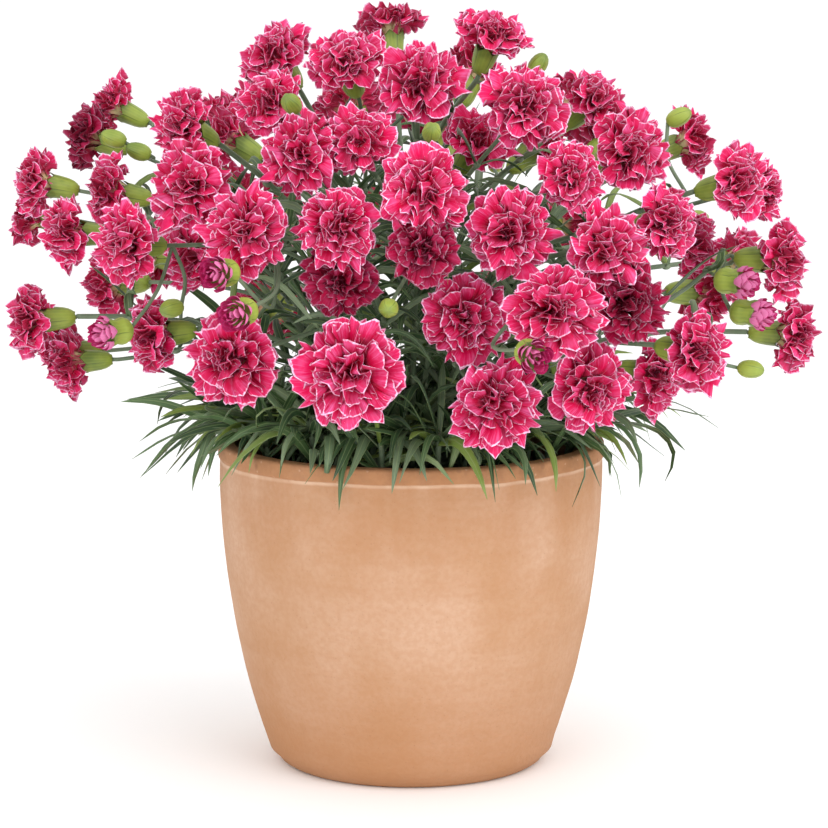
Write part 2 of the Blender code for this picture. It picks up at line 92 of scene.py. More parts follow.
camera = scene_object("photo_camera", bpy.data.cameras.new("photo_camera"))
camera.data.sensor_width = SENSOR_WIDTH
camera.data.lens = FOCAL_LENGTH
camera.location = (0.0, -CAMERA_DISTANCE, CAMERA_HEIGHT)
camera.rotation_euler = (math.radians(90) - CAMERA_PITCH, 0.0, -CAMERA_YAW)
bpy.context.scene.camera = camera
print("camera", tuple(camera.location), "lens", FOCAL_LENGTH)

# %% [markdown]
# ## Node helpers and the two shared effects
#
# A material is a small graph of nodes, so a few short helpers keep it readable. Clay, soil,
# leaves and petals are all a little uneven in colour, so one node group, "mottle", gives a soft
# blotchy mask to every one of them. A second, "grain", gives the height of fine grains.

# %% Node helpers


def add_node(tree, kind, inputs, output=0, **settings):
    """An output of a new node with its settings, and values or links for its inputs."""
    made = tree.nodes.new("ShaderNode" + kind)
    for name, value in settings.items():
        setattr(made, name, value)
    for name, value in inputs.items():
        if isinstance(value, bpy.types.NodeSocket):
            tree.links.new(value, made.inputs[name])
        else:
            made.inputs[name].default_value = value
    return made.outputs[output]


def computed(operation, first, second=0.0, clamp=False):
    """One step of arithmetic on values, the first of them a socket."""
    inputs = {0: first, 1: second}
    return add_node(first.id_data, "Math", inputs, operation=operation, use_clamp=clamp)


def times(first, second):
    return computed("MULTIPLY", first, second)


def plus(first, second, clamp=False):
    return computed("ADD", first, second, clamp)


def soft_step(value, low, high):
    """0 where the value is short of low, 1 where it is past high, and a soft rise between."""
    inputs = {"Value": value, "From Min": low, "From Max": high}
    return add_node(value.id_data, "MapRange", inputs, "Result", interpolation_type="SMOOTHSTEP")


def laid_over(colour, *layers):
    """The colour with others laid over it in turn, each as its own (mask, colour)."""
    for mask, over in layers:
        colour = add_node(mask.id_data, "Mix", {0: mask, 6: colour, 7: over}, 2, data_type="RGBA")
    return colour


def cell_distance(place, scale):
    """How far the place is from the middle of the nearest of many scattered cells."""
    return add_node(place.id_data, "TexVoronoi", {"Vector": place, "Scale": scale}, "Distance")


def cloud(place, scale, detail):
    """Soft noise from 0 to 1."""
    inputs = {"Vector": place, "Scale": scale, "Detail": detail}
    return add_node(place.id_data, "TexNoise", inputs, "Fac")


def stretched(place, scale):
    return add_node(place.id_data, "Mapping", {"Vector": place, "Scale": scale})


def new_group(name, result, **numbers):
    """A node group that works on a place: the group, its inputs, and the socket of its result."""
    group = bpy.data.node_groups.new(name, "ShaderNodeTree")
    group.interface.new_socket("Place", in_out="INPUT", socket_type="NodeSocketVector")
    for label, default in numbers.items():
        socket = group.interface.new_socket(label, in_out="INPUT", socket_type="NodeSocketFloat")
        socket.default_value = default
    group.interface.new_socket(result, in_out="OUTPUT", socket_type="NodeSocketFloat")
    given = group.nodes.new("NodeGroupInput").outputs
    return group, given, group.nodes.new("NodeGroupOutput").inputs[result]


# %% Mottle and grain groups
mottle_group, given, result = new_group("mottle", "Mask", Scale=10.0, Detail=3.0)
clouds = cloud(given["Place"], given["Scale"], given["Detail"])
mottle_group.links.new(soft_step(clouds, 0.32, 0.68), result)

grain_group, given, result = new_group("grain", "Height", Scale=400.0)
grains = cell_distance(given["Place"], given["Scale"])
grain_group.links.new(plus(grains, cloud(given["Place"], given["Scale"], 3.0)), result)


def mottle(place, scale, detail=3.0):
    inputs = {"Place": place, "Scale": scale, "Detail": detail}
    return add_node(place.id_data, "Group", inputs, node_tree=mottle_group)


def grain(place, scale):
    return add_node(place.id_data, "Group", {"Place": place, "Scale": scale}, node_tree=grain_group)


def new_material(name, roughness, specular):
    """A material, its Principled shader and the place on the piece."""
    finish = bpy.data.materials.new(name)
    finish.use_nodes = True
    shader = finish.node_tree.nodes["Principled BSDF"]
    shader.inputs["Roughness"].default_value = roughness
    shader.inputs["Specular IOR Level"].default_value = specular
    return finish, shader, add_node(finish.node_tree, "TexCoord", {}, "Object")


def marks_of(shader):
    """The piece's UV map, its two parts, and the tone that each of its shapes was given."""
    tree = shader.id_data
    uv = add_node(tree, "UVMap", {}, "UV", uv_map="UVMap")
    around, along = [add_node(tree, "SeparateXYZ", {0: uv}, axis) for axis in "XY"]
    return uv, around, along, add_node(tree, "Attribute", {}, "Fac", attribute_name="tone")


def painted(shader, colour, relief=None, strength=0.0, distance=0.0):
    """Gives the shader its colour and, where it has any, its small relief."""
    shader.id_data.links.new(colour, shader.inputs["Base Color"])
    if relief is not None:
        inputs = {"Height": relief, "Strength": strength, "Distance": distance}
        bump = add_node(shader.id_data, "Bump", inputs, "Normal")
        shader.id_data.links.new(bump, shader.inputs["Normal"])


print("groups:", [group.name for group in bpy.data.node_groups])

# %% [markdown]
# ## Light and floor
#
# The photograph is a studio picture on white: soft light from all round, a little stronger from
# the right. A white world gives the even part, and two large area lights give the petals and the
# clay their shape. The floor is a plain matt sheet that reaches past the horizon.

# %% Light and floor
WORLD_STRENGTH = 1.10
LIT_MIDDLE = Vector((0.0, 0.0, 0.28))
FLOOR_SIZE = 120.0
FLOOR_WHITE = (0.98, 0.98, 0.98, 1)
# name, place, width in metres, watts
AREA_LIGHTS = [
    ("key_light", (1.7, -1.8, 1.6), 2.4, 36.5),
    ("fill_light", (-1.1, -2.0, 1.1), 2.0, 16.0),
]

world = bpy.data.worlds.new("studio")
world.use_nodes = True
world.node_tree.nodes["Background"].inputs["Color"].default_value = (1.0, 1.0, 1.0, 1.0)
world.node_tree.nodes["Background"].inputs["Strength"].default_value = WORLD_STRENGTH
bpy.context.scene.world = world
bpy.context.scene.view_settings.view_transform = "Standard"
for name, place, width, power in AREA_LIGHTS:
    lamp = scene_object(name, bpy.data.lights.new(name, "AREA"))
    lamp.data.size = width
    lamp.data.energy = power
    lamp.location = place
    lamp.rotation_euler = (LIT_MIDDLE - lamp.location).to_track_quat("-Z", "Y").to_euler()


def kept_mesh(name, bm):
    """The bmesh as a mesh of this name."""
    mesh = bpy.data.meshes.new(name)
    bm.to_mesh(mesh)
    bm.free()
    return mesh


def new_object(name, bm, finish, smooth=True):
    """Puts the bmesh into a new object of the scene and gives it its material."""
    for face in bm.faces:
        face.smooth = smooth
    mesh = kept_mesh(name, bm)
    mesh.materials.append(finish)
    return scene_object(name, mesh)


floor_finish, shader, _ = new_material("pale_floor", 0.9, 0.5)
shader.inputs["Base Color"].default_value = FLOOR_WHITE
bm = bmesh.new()
bmesh.ops.create_grid(bm, x_segments=1, y_segments=1, size=FLOOR_SIZE / 2)
floor = new_object("studio_floor", bm, floor_finish)
print("floor", FLOOR_SIZE, "m")

# %% [markdown]
# ## Terracotta
#
# The clay is a light orange-tan. It was thrown or pressed in turns, so faint level bands run
# round it, and paler and darker patches lie along them. The lip is browner, chipped and worn,
# with a pale line of painted highlight under it. Water and lime left streaks below, pores show
# as dark specks, and the foot is a stronger orange. All of it is worked out from the place on the pot.

# %% Terracotta material
CLAY = (0.470, 0.264, 0.148, 1)
CLAY_PALE = (0.575, 0.375, 0.262, 1)
CLAY_ORANGE = (0.40, 0.182, 0.076, 1)
CLAY_STAIN = (0.28, 0.135, 0.075, 1)
CLAY_LIGHT = (0.72, 0.52, 0.38, 1)
LIP_LINE = 0.2000
LIP_WAVE = 0.0022

terracotta, shader, place = new_material("terracotta", 0.88, 0.25)
height = add_node(shader.id_data, "SeparateXYZ", {0: place}, "Z")
patches = mottle(place, 14.0, 5.0)
bands = mottle(stretched(place, (5.0, 5.0, 90.0)), 1.0)
sand = mottle(place, 300.0, 2.0)
near_foot = soft_step(height, 0.110, 0.005)
waved = plus(height, times(computed("SUBTRACT", patches, 0.5), LIP_WAVE))
on_lip = soft_step(waved, LIP_LINE - 0.0004, LIP_LINE + 0.0006)
above_line = soft_step(waved, LIP_LINE - 0.0030, LIP_LINE - 0.0014)
# a pale line just under the lip: a painted highlight along the foot of the lip
painted_highlight_line = times(above_line, soft_step(waved, LIP_LINE + 0.0002, LIP_LINE - 0.0006))
chips = times(soft_step(cell_distance(place, 95.0), 0.24, 0.12), on_lip)
flecks = times(soft_step(cell_distance(place, 170.0), 0.17, 0.09), on_lip)
streaks = mottle(stretched(place, (60.0, 60.0, 4.0)), 1.0)
pores = soft_step(cell_distance(place, 260.0), 0.16, 0.05)
colour = laid_over(
    CLAY,
    (times(patches, 0.75), CLAY_PALE),
    (times(bands, 0.16), CLAY_ORANGE),
    (times(sand, 0.22), CLAY_ORANGE),
    (times(near_foot, 0.62), CLAY_ORANGE),
    (times(on_lip, 0.62), CLAY_ORANGE),
    (times(times(mottle(place, 210.0, 4.0), on_lip), 0.30), CLAY_STAIN),
    # painted highlight under the lip
    (times(painted_highlight_line, 0.55), CLAY_LIGHT),
    (times(chips, 0.60), CLAY_STAIN),
    (times(flecks, 0.30), CLAY_LIGHT),
    (times(times(streaks, soft_step(height, 0.120, 0.198)), 0.42), CLAY_ORANGE),
    (times(pores, 0.28), CLAY_STAIN),
)
painted(shader, colour, plus(grain(place, 420.0), times(bands, 1.5)), 0.35, 0.0005)
print("terracotta nodes:", len(shader.id_data.nodes))

# %% [markdown]
# ## The pot
#
# A potter turns the pot, so the script does too: one outline, spun round the axis. The lip
# stands a little proud of the wall, its edges are worn round, and three drain holes go through
# the floor. Slow noise moves the surface by a fraction of a millimetre, as hand-made clay has.

# %% Pot shape
POT_HEIGHT = 0.210
RIM_RADIUS = 0.125
FOOT_RADIUS = 0.089
FOOT_ROUNDING = 0.009
WALL = 0.011
FLOOR = 0.014
BELLY_POWER = 2.17
LIP_HEIGHT = 0.0105
LIP_STEP = 0.0012
EDGE_WEAR = 0.0022
LIP_FOOT_WEAR = 0.0010
SOIL_TOP = 0.186
MOUND_RISE = 0.004
POT_STEPS = 120
WALL_LEVELS = 26
INNER_LEVELS = (0.195, 0.186, 0.15, 0.11, 0.07, 0.04, 0.02, FLOOR)


def wall_radius(height):
    """The pot's outer radius: widest at the shoulder, leaning in towards the foot."""
    drop = max(0.0, 1.0 - height / (POT_HEIGHT - LIP_HEIGHT))
    shoulder = RIM_RADIUS - LIP_STEP
    return shoulder - (shoulder - FOOT_RADIUS) * drop**BELLY_POWER


def rounded_corner(centre, radius, start, end, steps=4):
    """Points of a worn edge, from one angle to another about its centre."""
    turns = [math.radians(start + (end - start) * i / steps) for i in range(steps + 1)]
    return [(centre[0] + radius * math.cos(a), centre[1] + radius * math.sin(a)) for a in turns]


def turned(outline, steps):
    """A bmesh of the outline spun round the upright axis."""
    bm = bmesh.new()
    line = [bm.verts.new((radius, 0.0, height)) for radius, height in outline]
    geom = line + [bm.edges.new(pair) for pair in zip(line, line[1:])]
    bmesh.ops.spin(
        bm, geom=geom, angle=math.tau, steps=steps, axis=(0, 0, 1), cent=(0, 0, 0), use_merge=True
    )
    bmesh.ops.remove_doubles(bm, verts=bm.verts, dist=0.00002)
    bmesh.ops.recalc_face_normals(bm, faces=bm.faces)
    return bm


def pot_outline():
    """The pot's section from the middle of its foot, up its outside, and down to its floor."""
    shoulder = POT_HEIGHT - LIP_HEIGHT
    foot = wall_radius(0) - FOOT_ROUNDING
    rise = shoulder - FOOT_ROUNDING
    levels = [FOOT_ROUNDING + rise * i / WALL_LEVELS for i in range(WALL_LEVELS + 1)]
    outline = [(0.0, 0.0), (foot * 0.5, 0.0), (foot, 0.0)]
    for a in (0.35, 0.75, 1.15):
        outline.append((foot + FOOT_ROUNDING * math.sin(a), FOOT_ROUNDING * (1 - math.cos(a))))
    outline += [(wall_radius(z), z) for z in levels]
    lip_foot = (RIM_RADIUS - LIP_FOOT_WEAR, shoulder + 0.0016)
    outline += rounded_corner(lip_foot, LIP_FOOT_WEAR, -80, 0, 3)
    worn_at = POT_HEIGHT - EDGE_WEAR
    outline += rounded_corner((RIM_RADIUS - EDGE_WEAR, worn_at), EDGE_WEAR, 0, 90)
    outline += rounded_corner((RIM_RADIUS - WALL + EDGE_WEAR, worn_at), EDGE_WEAR, 90, 180)
    outline += [(wall_radius(z) - WALL, z) for z in INNER_LEVELS]
    return outline + [(0.05, FLOOR), (0.0, FLOOR)]


# %% Turn the pot and drill its drain holes
DRAIN_RADIUS = 0.007
DRAIN_CIRCLE = 0.040
CLAY_WOBBLE = 0.0006

bm = turned(pot_outline(), POT_STEPS)
for vert in bm.verts:
    outward = Vector((vert.co.x, vert.co.y, 0.0))
    if vert.co.z > FOOT_ROUNDING and outward.length > 0.07:
        slow = noise.noise(vert.co * 14.0) + 0.5 * noise.noise(vert.co * 45.0)
        vert.co += outward.normalized() * (slow - 0.6) * CLAY_WOBBLE
pot = new_object("terracotta_pot", bm, terracotta)
for i in range(3):
    turn = math.tau * (i + 0.5) / 3
    bm = bmesh.new()
    bmesh.ops.create_cone(
        bm, cap_ends=True, segments=32, radius1=DRAIN_RADIUS, radius2=DRAIN_RADIUS, depth=FLOOR * 4
    )
    spot = (DRAIN_CIRCLE * math.cos(turn), DRAIN_CIRCLE * math.sin(turn), 0)
    bmesh.ops.translate(bm, verts=bm.verts, vec=spot)
    drill = new_object("drill", bm, terracotta)
    hole = pot.modifiers.new("hole", "BOOLEAN")
    hole.operation = "DIFFERENCE"
    hole.solver = "EXACT"
    hole.object = drill
    bpy.context.view_layer.update()
    graph = bpy.context.evaluated_depsgraph_get()
    drilled = bpy.data.meshes.new_from_object(pot.evaluated_get(graph))
    pot.modifiers.clear()
    pot.data = drilled
    bpy.data.objects.remove(drill)
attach(pot, "root")
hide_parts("pot")
print("pot faces:", len(pot.data.polygons))

# %% [markdown]
# ## Potting soil
#
# The soil is nearly black and crumbly. Its body is turned like the pot, and its top is roughened
# with noise. A few hundred small crumbs lie on it, each a rough ball of clay and bark.

# %% Soil material and body
SOIL_DARK = (0.010, 0.008, 0.006, 1)
SOIL_BROWN = (0.045, 0.030, 0.020, 1)
SOIL_GAP = 0.0003
SOIL_LEVELS = (FLOOR, 0.05, 0.10, 0.15, SOIL_TOP)
TOP_RINGS = 22

soil_finish, shader, place = new_material("potting_soil", 0.95, 0.2)
colour = laid_over(SOIL_DARK, (mottle(place, 120.0, 4.0), SOIL_BROWN))
painted(shader, colour, grain(place, 350.0), 0.8, 0.001)

edge = wall_radius(SOIL_TOP) - WALL - SOIL_GAP
outline = [(0.0, FLOOR + SOIL_GAP)]
outline += [(wall_radius(z) - WALL - SOIL_GAP, z + SOIL_GAP) for z in SOIL_LEVELS]
for i in range(1, TOP_RINGS + 1):
    reach = edge * (1 - i / TOP_RINGS)
    outline.append((reach, SOIL_TOP + MOUND_RISE * min(1.0, (1 - reach / edge) / 0.4)))
bm = turned(outline, 90)
for vert in bm.verts:
    if vert.co.z > SOIL_TOP - 0.001 and math.hypot(vert.co.x, vert.co.y) < edge - 0.001:
        vert.co.z += 0.0022 * noise.noise(vert.co * 90.0) + 0.0016 * noise.noise(vert.co * 260.0)
soil = new_object("soil_body", bm, soil_finish)

# %% Soil crumbs
CRUMB_COUNT = 700
rng = random.Random(3)
bm = bmesh.new()
for _ in range(CRUMB_COUNT):
    reach, turn = edge * math.sqrt(rng.random()) * 0.97, rng.uniform(0, math.tau)
    size = rng.uniform(0.0010, 0.0030)
    spot = Vector((reach * math.cos(turn), reach * math.sin(turn), SOIL_TOP + MOUND_RISE * 0.7))
    squash = Matrix.Diagonal((size, size * rng.uniform(0.6, 1.0), size * rng.uniform(0.5, 0.9), 1.0))
    tumbled = Matrix.Rotation(rng.uniform(0, 3), 4, Vector((rng.random(), rng.random(), 1)))
    placed = Matrix.Translation(spot) @ tumbled @ squash
    bmesh.ops.create_icosphere(bm, subdivisions=1, radius=1.0, matrix=placed)
crumbs = new_object("soil_crumbs", bm, soil_finish, smooth=False)
for piece in (soil, crumbs):
    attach(piece, "root")
    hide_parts("soil")
print("crumbs:", CRUMB_COUNT)

# %% [markdown]
# ## Where the heads are
#
# Each bloom of the CAD part is a rosette on a narrow neck that ends in a flat ten-sided face.
# That face tells everything: its middle is where the petals leave the calyx, it looks back down
# the stem, and its size gives the size of the bloom. The buds' tips are small flat squares,
# which are found in the same way.

# %% Read the heads and buds
NECK_HEIGHT = 0.60
NECK_REACH = 0.17
NECK_CORNERS = 7
FIT_GAP = 0.0003
CALYX_LENGTH = 0.019
BUD_LENGTH = 0.017
BUD_TIP_AWAY = 0.46
HALF_OPEN_SCALE = 1.45
BUD_TIP_RADIUS = 0.0058 * 0.25
LOWEST_BUD = 0.25


class Head(NamedTuple):
    """A flower head or a bud: its middle, the way it faces and its radius."""

    centre: Vector
    facing: Vector
    radius: float

    def calyx(self, share):
        """A point on the calyx axis, from 0 at its mouth to 1 at its foot."""
        return self.centre - self.facing * (NECK_HEIGHT * self.radius + FIT_GAP + CALYX_LENGTH * share)


def flat_faces(node):
    """The node's flat faces, as (unevenness, corners, mean radius, middle, way it looks)."""
    bm = bmesh.new()
    bm.from_mesh(frame["nodes"][node].data)
    bmesh.ops.remove_doubles(bm, verts=bm.verts, dist=0.000001)
    bmesh.ops.dissolve_limit(bm, angle_limit=math.radians(0.2), verts=bm.verts, edges=bm.edges)
    found = []
    for face in bm.faces:
        middle = face.calc_center_median()
        reaches = [(vert.co - middle).length for vert in face.verts]
        mean = sum(reaches) / len(reaches)
        uneven = (max(reaches) - min(reaches)) / mean
        found.append((uneven, len(reaches), mean, middle, face.normal.copy()))
    bm.free()
    return found


def heads_of(node, count):
    """The heads in a bloom's node, from its most regular many-sided flat faces."""
    necks = sorted(face for face in flat_faces(node) if face[1] >= NECK_CORNERS)[:count]
    heads = []
    for _, _, reach, middle, back in necks:
        radius = reach / NECK_REACH
        heads.append(Head(middle - back * NECK_HEIGHT * radius, -back, radius))
    return heads


bloom_nodes = sorted(name for name in frame["nodes"] if name.startswith("bloom"))
heads_in = {name: heads_of(name, 2 if "pair" in name else 1) for name in bloom_nodes}
heads = [head for name in bloom_nodes for head in heads_in[name]]
buds = []
for uneven, corners, reach, middle, facing in flat_faces("plant"):
    if corners != 4 or middle.z <= LOWEST_BUD or uneven >= 0.02:
        continue
    for scale in (1.0, HALF_OPEN_SCALE):
        if abs(reach / scale / BUD_TIP_RADIUS - 1) < 0.01:
            length = BUD_LENGTH * scale
            buds.append(Head(middle - facing * length * BUD_TIP_AWAY, facing, length / 2))
radii = sorted({round(head.radius / MM) for head in heads})
print("heads:", len(heads), "buds:", len(buds), "radii in mm:", radii)

# %% [markdown]
# ## Petals
#
# A double dianthus packs some sixty petals into one calyx. Each starts as a narrow pale claw and
# opens into a fan with a waved, toothed edge. The outer ones lie flat or droop, and the middle
# ones stand crumpled. A petal here is a small grid: its middle line is bent from the calyx mouth
# to its place on the dome, and waves that grow towards the edge ruffle it. Eight different heads
# are modelled, then turned and scaled for all the blooms.

# %% Petal shape
PETAL_ACROSS = 13
PETAL_ALONG = 5
DOME_HEIGHT = 0.56
MOUTH_DEPTH = 0.41
CLAW_WIDTH = 0.060
CLAW_SHARE = 0.50
ROUNDING = 0.45
INNER_FROM = 70
# petals in the whorl, place of the tips and their lean in degrees from the axis,
# half the angle of the fan in degrees, ruffle
WHORLS = [
    (2, 148, 188, 34, 0.050),
    (8, 122, 166, 42, 0.075),
    (10, 104, 142, 41, 0.085),
    (10, 84, 118, 40, 0.090),
    (10, 69, 104, 39, 0.100),
    (10, 54, 90, 38, 0.110),
    (9, 38, 72, 36, 0.115),
    (5, 22, 48, 35, 0.120),
    (3, 8, 20, 33, 0.120),
]
OPENNESS = (1.0, 1.08, 1.03, 0.93, 1.10, 1.05, 0.96, 1.04)


def eased(value, low, high):
    """0 below low, 1 above high, and a smooth rise between."""
    share = max(0.0, min(1.0, (value - low) / (high - low)))
    return share * share * (3 - 2 * share)


def bezier(start, leave, arrive, end, t):
    s = 1 - t
    return start * s**3 + leave * 3 * s * s * t + arrive * 3 * s * t * t + end * t**3


def shape_petal(verts, tone_layer, rng, tone, turn, tip_angle, lean, fan, ruffle, cup, loose):
    """Moves a flat grid's verts into a petal of a head that is one unit in radius."""
    outward = Vector((math.cos(turn), math.sin(turn), 0.0))
    around = Vector((math.sin(turn), -math.cos(turn), 0.0))
    reach = 1 + loose * rng.uniform(-0.18, 0.04)
    start = outward * rng.uniform(0.02, 0.24) - UP * MOUTH_DEPTH
    tip = (outward * math.sin(tip_angle) + UP * math.cos(tip_angle) * DOME_HEIGHT) * reach
    leave = start + UP * 0.34
    arrive = tip - (outward * math.sin(lean) + UP * math.cos(lean)) * 0.42
    bent = (leave - start).length + (arrive - leave).length + (tip - arrive).length
    length = (bent + (tip - start).length) / 2
    tilt = loose * rng.gauss(0.0, 0.36)
    waves, small_waves = rng.uniform(1.5, 2.5), rng.uniform(2.8, 4.0)
    phase, small_phase = rng.uniform(0, math.tau), rng.uniform(0, math.tau)
    curl = loose * rng.uniform(-0.06, 0.15)
    teeth = [loose * (rng.uniform(-0.020, 0.006) + 0.014 * (n % 2)) for n in range(PETAL_ACROSS + 1)]
    for vert in verts:
        u, v = vert.co.x * 2, max(0.0, vert.co.y + 0.5) ** 0.8
        tooth = teeth[round((vert.co.x + 0.5) * PETAL_ACROSS)] if v > 0.99 else 0.0
        lobe = 1 - ROUNDING * (1 - math.cos(math.pi / 2 * u))
        past_claw = (max(0.0, v - CLAW_SHARE) + tooth) * lobe
        swing = fan * math.sin(1.3 * u) / math.sin(1.3)
        t = min(v, CLAW_SHARE) + past_claw * math.cos(swing)
        s = 1 - t
        ahead = (leave - start) * s * s + (arrive - leave) * 2 * s * t + (tip - arrive) * t * t
        ahead.normalize()
        inward = around.cross(ahead)
        side = around * math.cos(tilt) + inward * math.sin(tilt)
        normal = inward * math.cos(tilt) - around * math.sin(tilt)
        across = CLAW_WIDTH * u + past_claw * length * math.sin(swing)
        growth = eased(v, 0.45, 1.15)
        wave = math.sin(math.pi * waves * u + phase)
        wave += 0.45 * v * math.sin(math.pi * small_waves * u + small_phase)
        lift = ruffle * growth * 1.7 * wave + cup * across * across + curl * growth
        vert.co = bezier(start, leave, arrive, tip, t) + side * across + normal * lift
        vert[tone_layer] = tone


def layered_bmesh(*layers):
    """A bmesh with a UV map and, for each name, a value on every vert."""
    bm = bmesh.new()
    bm.loops.layers.uv.new("UVMap")
    for name in layers:
        bm.verts.layers.float.new(name)
    return bm


def petal_mesh(name, seed, whorls, petal_numbers):
    """All the petals of one head, one unit in radius, facing up."""
    rng = random.Random(seed)
    bm = layered_bmesh("shade_and_age", "tone")
    tone_layer = bm.verts.layers.float["tone"]
    for count, *whorl in whorls:
        first = rng.uniform(0, math.tau)
        for i in range(count):
            grid = bmesh.ops.create_grid(
                bm, x_segments=PETAL_ACROSS, y_segments=PETAL_ALONG, size=0.5, calc_uvs=True
            )
            numbers = petal_numbers(rng, i, *whorl)
            turn = first + math.tau * numbers.pop("place") / count
            shape_petal(grid["verts"], tone_layer, rng, turn=turn, **numbers)
    return kept_mesh(name, bm)


def head_petals(seed, openness):
    def petal_numbers(rng, i, tip, lean, fan, ruffle):
        return {
            "place": i + rng.uniform(-0.35, 0.35),
            # the middle petals get a higher tone, which paints shade inside the bloom; the rest of the tone is
            # random
            "tone": 0.5 * rng.random() + (0.5 if tip < INNER_FROM else 0.0),
            "tip_angle": math.radians(tip * openness + rng.uniform(-14, 14)),
            "lean": math.radians(lean * openness + rng.uniform(-26, 26)),
            "fan": math.radians(fan * rng.uniform(0.75, 1.15)),
            "ruffle": ruffle * rng.uniform(0.6, 1.4),
            "cup": rng.uniform(-0.3, 1.0),
            "loose": 1.0,
        }

    return petal_mesh(f"head_petals_{seed}", seed, WHORLS, petal_numbers)


HEAD_KINDS = [head_petals(seed, openness) for seed, openness in enumerate(OPENNESS)]
print("petal kinds:", len(HEAD_KINDS), "faces each:", len(HEAD_KINDS[0].polygons))

# %% [markdown]
# ## Petal finish
#
# Seen close, a petal is crimson with a thin white edge that follows its teeth. Soft patches of
# paler pink on it are a painted sheen; it is also paler towards its base, and cream at the claw.
# Fine veins fan out along it. The petal's own UV map runs from the claw, at 0, to the edge, at 1,
# so every one of these marks follows the petal however it is bent. Besides, the middle petals are
# painted a deeper crimson for the shade inside the bloom, and heads that sit under other heads
# are painted darker for their shade.

# %% Petal material
CRIMSON = (0.73, 0.0002, 0.080, 1)
CRIMSON_DEEP = (0.46, 0.0002, 0.032, 1)
CRIMSON_SHADED = (0.17, 0.0003, 0.010, 1)
PINK = (0.95, 0.270, 0.620, 1)
EDGE_WHITE = (0.98, 0.68, 0.92, 1)
CLAW_CREAM = (0.78, 0.70, 0.38, 1)
THROAT_PALE = (0.90, 0.42, 0.56, 1)
BACK_PINK = (0.80, 0.150, 0.290, 1)
YOUNG_PINK = (0.62, 0.020, 0.170, 1)
YOUNG_BACK = (0.74, 0.230, 0.450, 1)
YOUNG_EDGE = (0.46, 0.010, 0.130, 1)


def petal_material(name, plain, backs, edges, sheen_share, back_share):
    """The petal finish: its colours, how much painted sheen its face has, and how pale its backs are."""
    finish, shader, place = new_material(name, 0.70, 0.02)
    uv, around, along, tone = marks_of(shader)
    # the darkening of each head: painted shade for heads under other heads, and a little at random for age
    shade_and_age = add_node(finish.node_tree, "Attribute", {}, "Fac", attribute_name="shade_and_age")
    back = add_node(finish.node_tree, "NewGeometry", {}, "Backfacing")
    veins = cloud(stretched(uv, (34.0, 1.8, 1.0)), 1.0, 2.0)
    vein_mask = soft_step(veins, 0.52, 0.70)
    patches = mottle(place, 150.0)
    broken = plus(times(mottle(place, 520.0, 1.0), 0.75), 0.35, clamp=True)
    from_middle = computed("ABSOLUTE", computed("SUBTRACT", around, 0.5))
    ragged = plus(along, times(computed("SUBTRACT", veins, 0.5), 0.06))
    end_edge = soft_step(ragged, 0.966, 0.986)
    side_edge = times(soft_step(from_middle, 0.468, 0.488), soft_step(along, 0.66, 0.84))
    edge_mask = times(computed("MAXIMUM", end_edge, side_edge), broken)
    near_edge = times(soft_step(along, 0.66, 0.97), plus(times(vein_mask, 0.75), 0.16))
    throat = times(soft_step(along, 0.80, 0.46), plus(times(vein_mask, 0.60), 0.06))
    claw = times(soft_step(along, 0.46, 0.20), soft_step(tone, 0.60, 0.40))
    colour = laid_over(
        plain,
        # deeper crimson by tone: random, and painted shade on the middle petals
        (times(tone, 0.60), CRIMSON_DEEP),
        # pink patches placed at random: a painted sheen
        (times(times(patches, patches), sheen_share), PINK),
        (times(near_edge, 0.54), PINK),
        (times(back, back_share), backs),
        (throat, THROAT_PALE),
        (claw, CLAW_CREAM),
        (times(edge_mask, 0.95), edges),
        # painted shade on heads that sit under other heads, with a little random darkening for age
        (times(shade_and_age, 0.90), CRIMSON_SHADED),
    )
    painted(shader, colour, veins, 0.25, 0.0006)
    return finish


petal_finish = petal_material("petals", CRIMSON, BACK_PINK, EDGE_WHITE, 0.18, 0.20)
young_finish = petal_material("young_petals", YOUNG_PINK, YOUNG_BACK, YOUNG_EDGE, 0.20, 0.85)
print("petal materials:", petal_finish.name, young_finish.name)

# %% Place the petals of every bloom
BLOOM_FULLNESS = 0.99
SHADE_REACH = 0.042


def shade_on(head):
    """How much of the light other heads above this one take, from 0 to 1."""
    above = 0.0
    for other in heads:
        away = other.centre - head.centre
        if 0.001 < away.length < SHADE_REACH and away.z > 0.62 * away.length:
            above += 0.75
    return min(1.0, above)


def add_placed(bm, kind, centre, facing, *shaping):
    """Adds a mesh that faces up, shaped and then turned to face its way; returns its verts."""
    before = len(bm.verts)
    bm.from_mesh(kind)
    bm.verts.ensure_lookup_table()
    matrix = Matrix.Translation(centre) @ facing.to_track_quat("Z", "Y").to_matrix().to_4x4()
    for step in shaping:
        matrix = matrix @ step
    placed = bm.verts[before:]
    bmesh.ops.transform(bm, matrix=matrix, verts=placed)
    return placed


rng = random.Random(21)
for name in bloom_nodes:
    bm = bmesh.new()
    for head in heads_in[name]:
        kind = rng.choice(HEAD_KINDS)
        spun = Matrix.Rotation(rng.uniform(0, math.tau), 4, "Z")
        size = head.radius * BLOOM_FULLNESS
        height = size * (1 - 0.22 * max(0.0, head.facing.z) ** 3)
        uneven = Matrix.Diagonal((size * rng.uniform(0.93, 1.05), size * rng.uniform(0.96, 1.07), height, 1.0))
        placed = add_placed(bm, kind, head.centre, head.facing, spun, uneven)
        # painted shade for heads under other heads, and a little random darkening for age
        shade_and_age = 0.12 * rng.random() + 0.85 * shade_on(head)
        shade_and_age_layer = bm.verts.layers.float["shade_and_age"]
        for vert in placed:
            vert[shade_and_age_layer] = shade_and_age
    piece = new_object(name + "_petals", bm, petal_finish)
    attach(piece, "root")
    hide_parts(name)
print("blooms:", len(bloom_nodes))

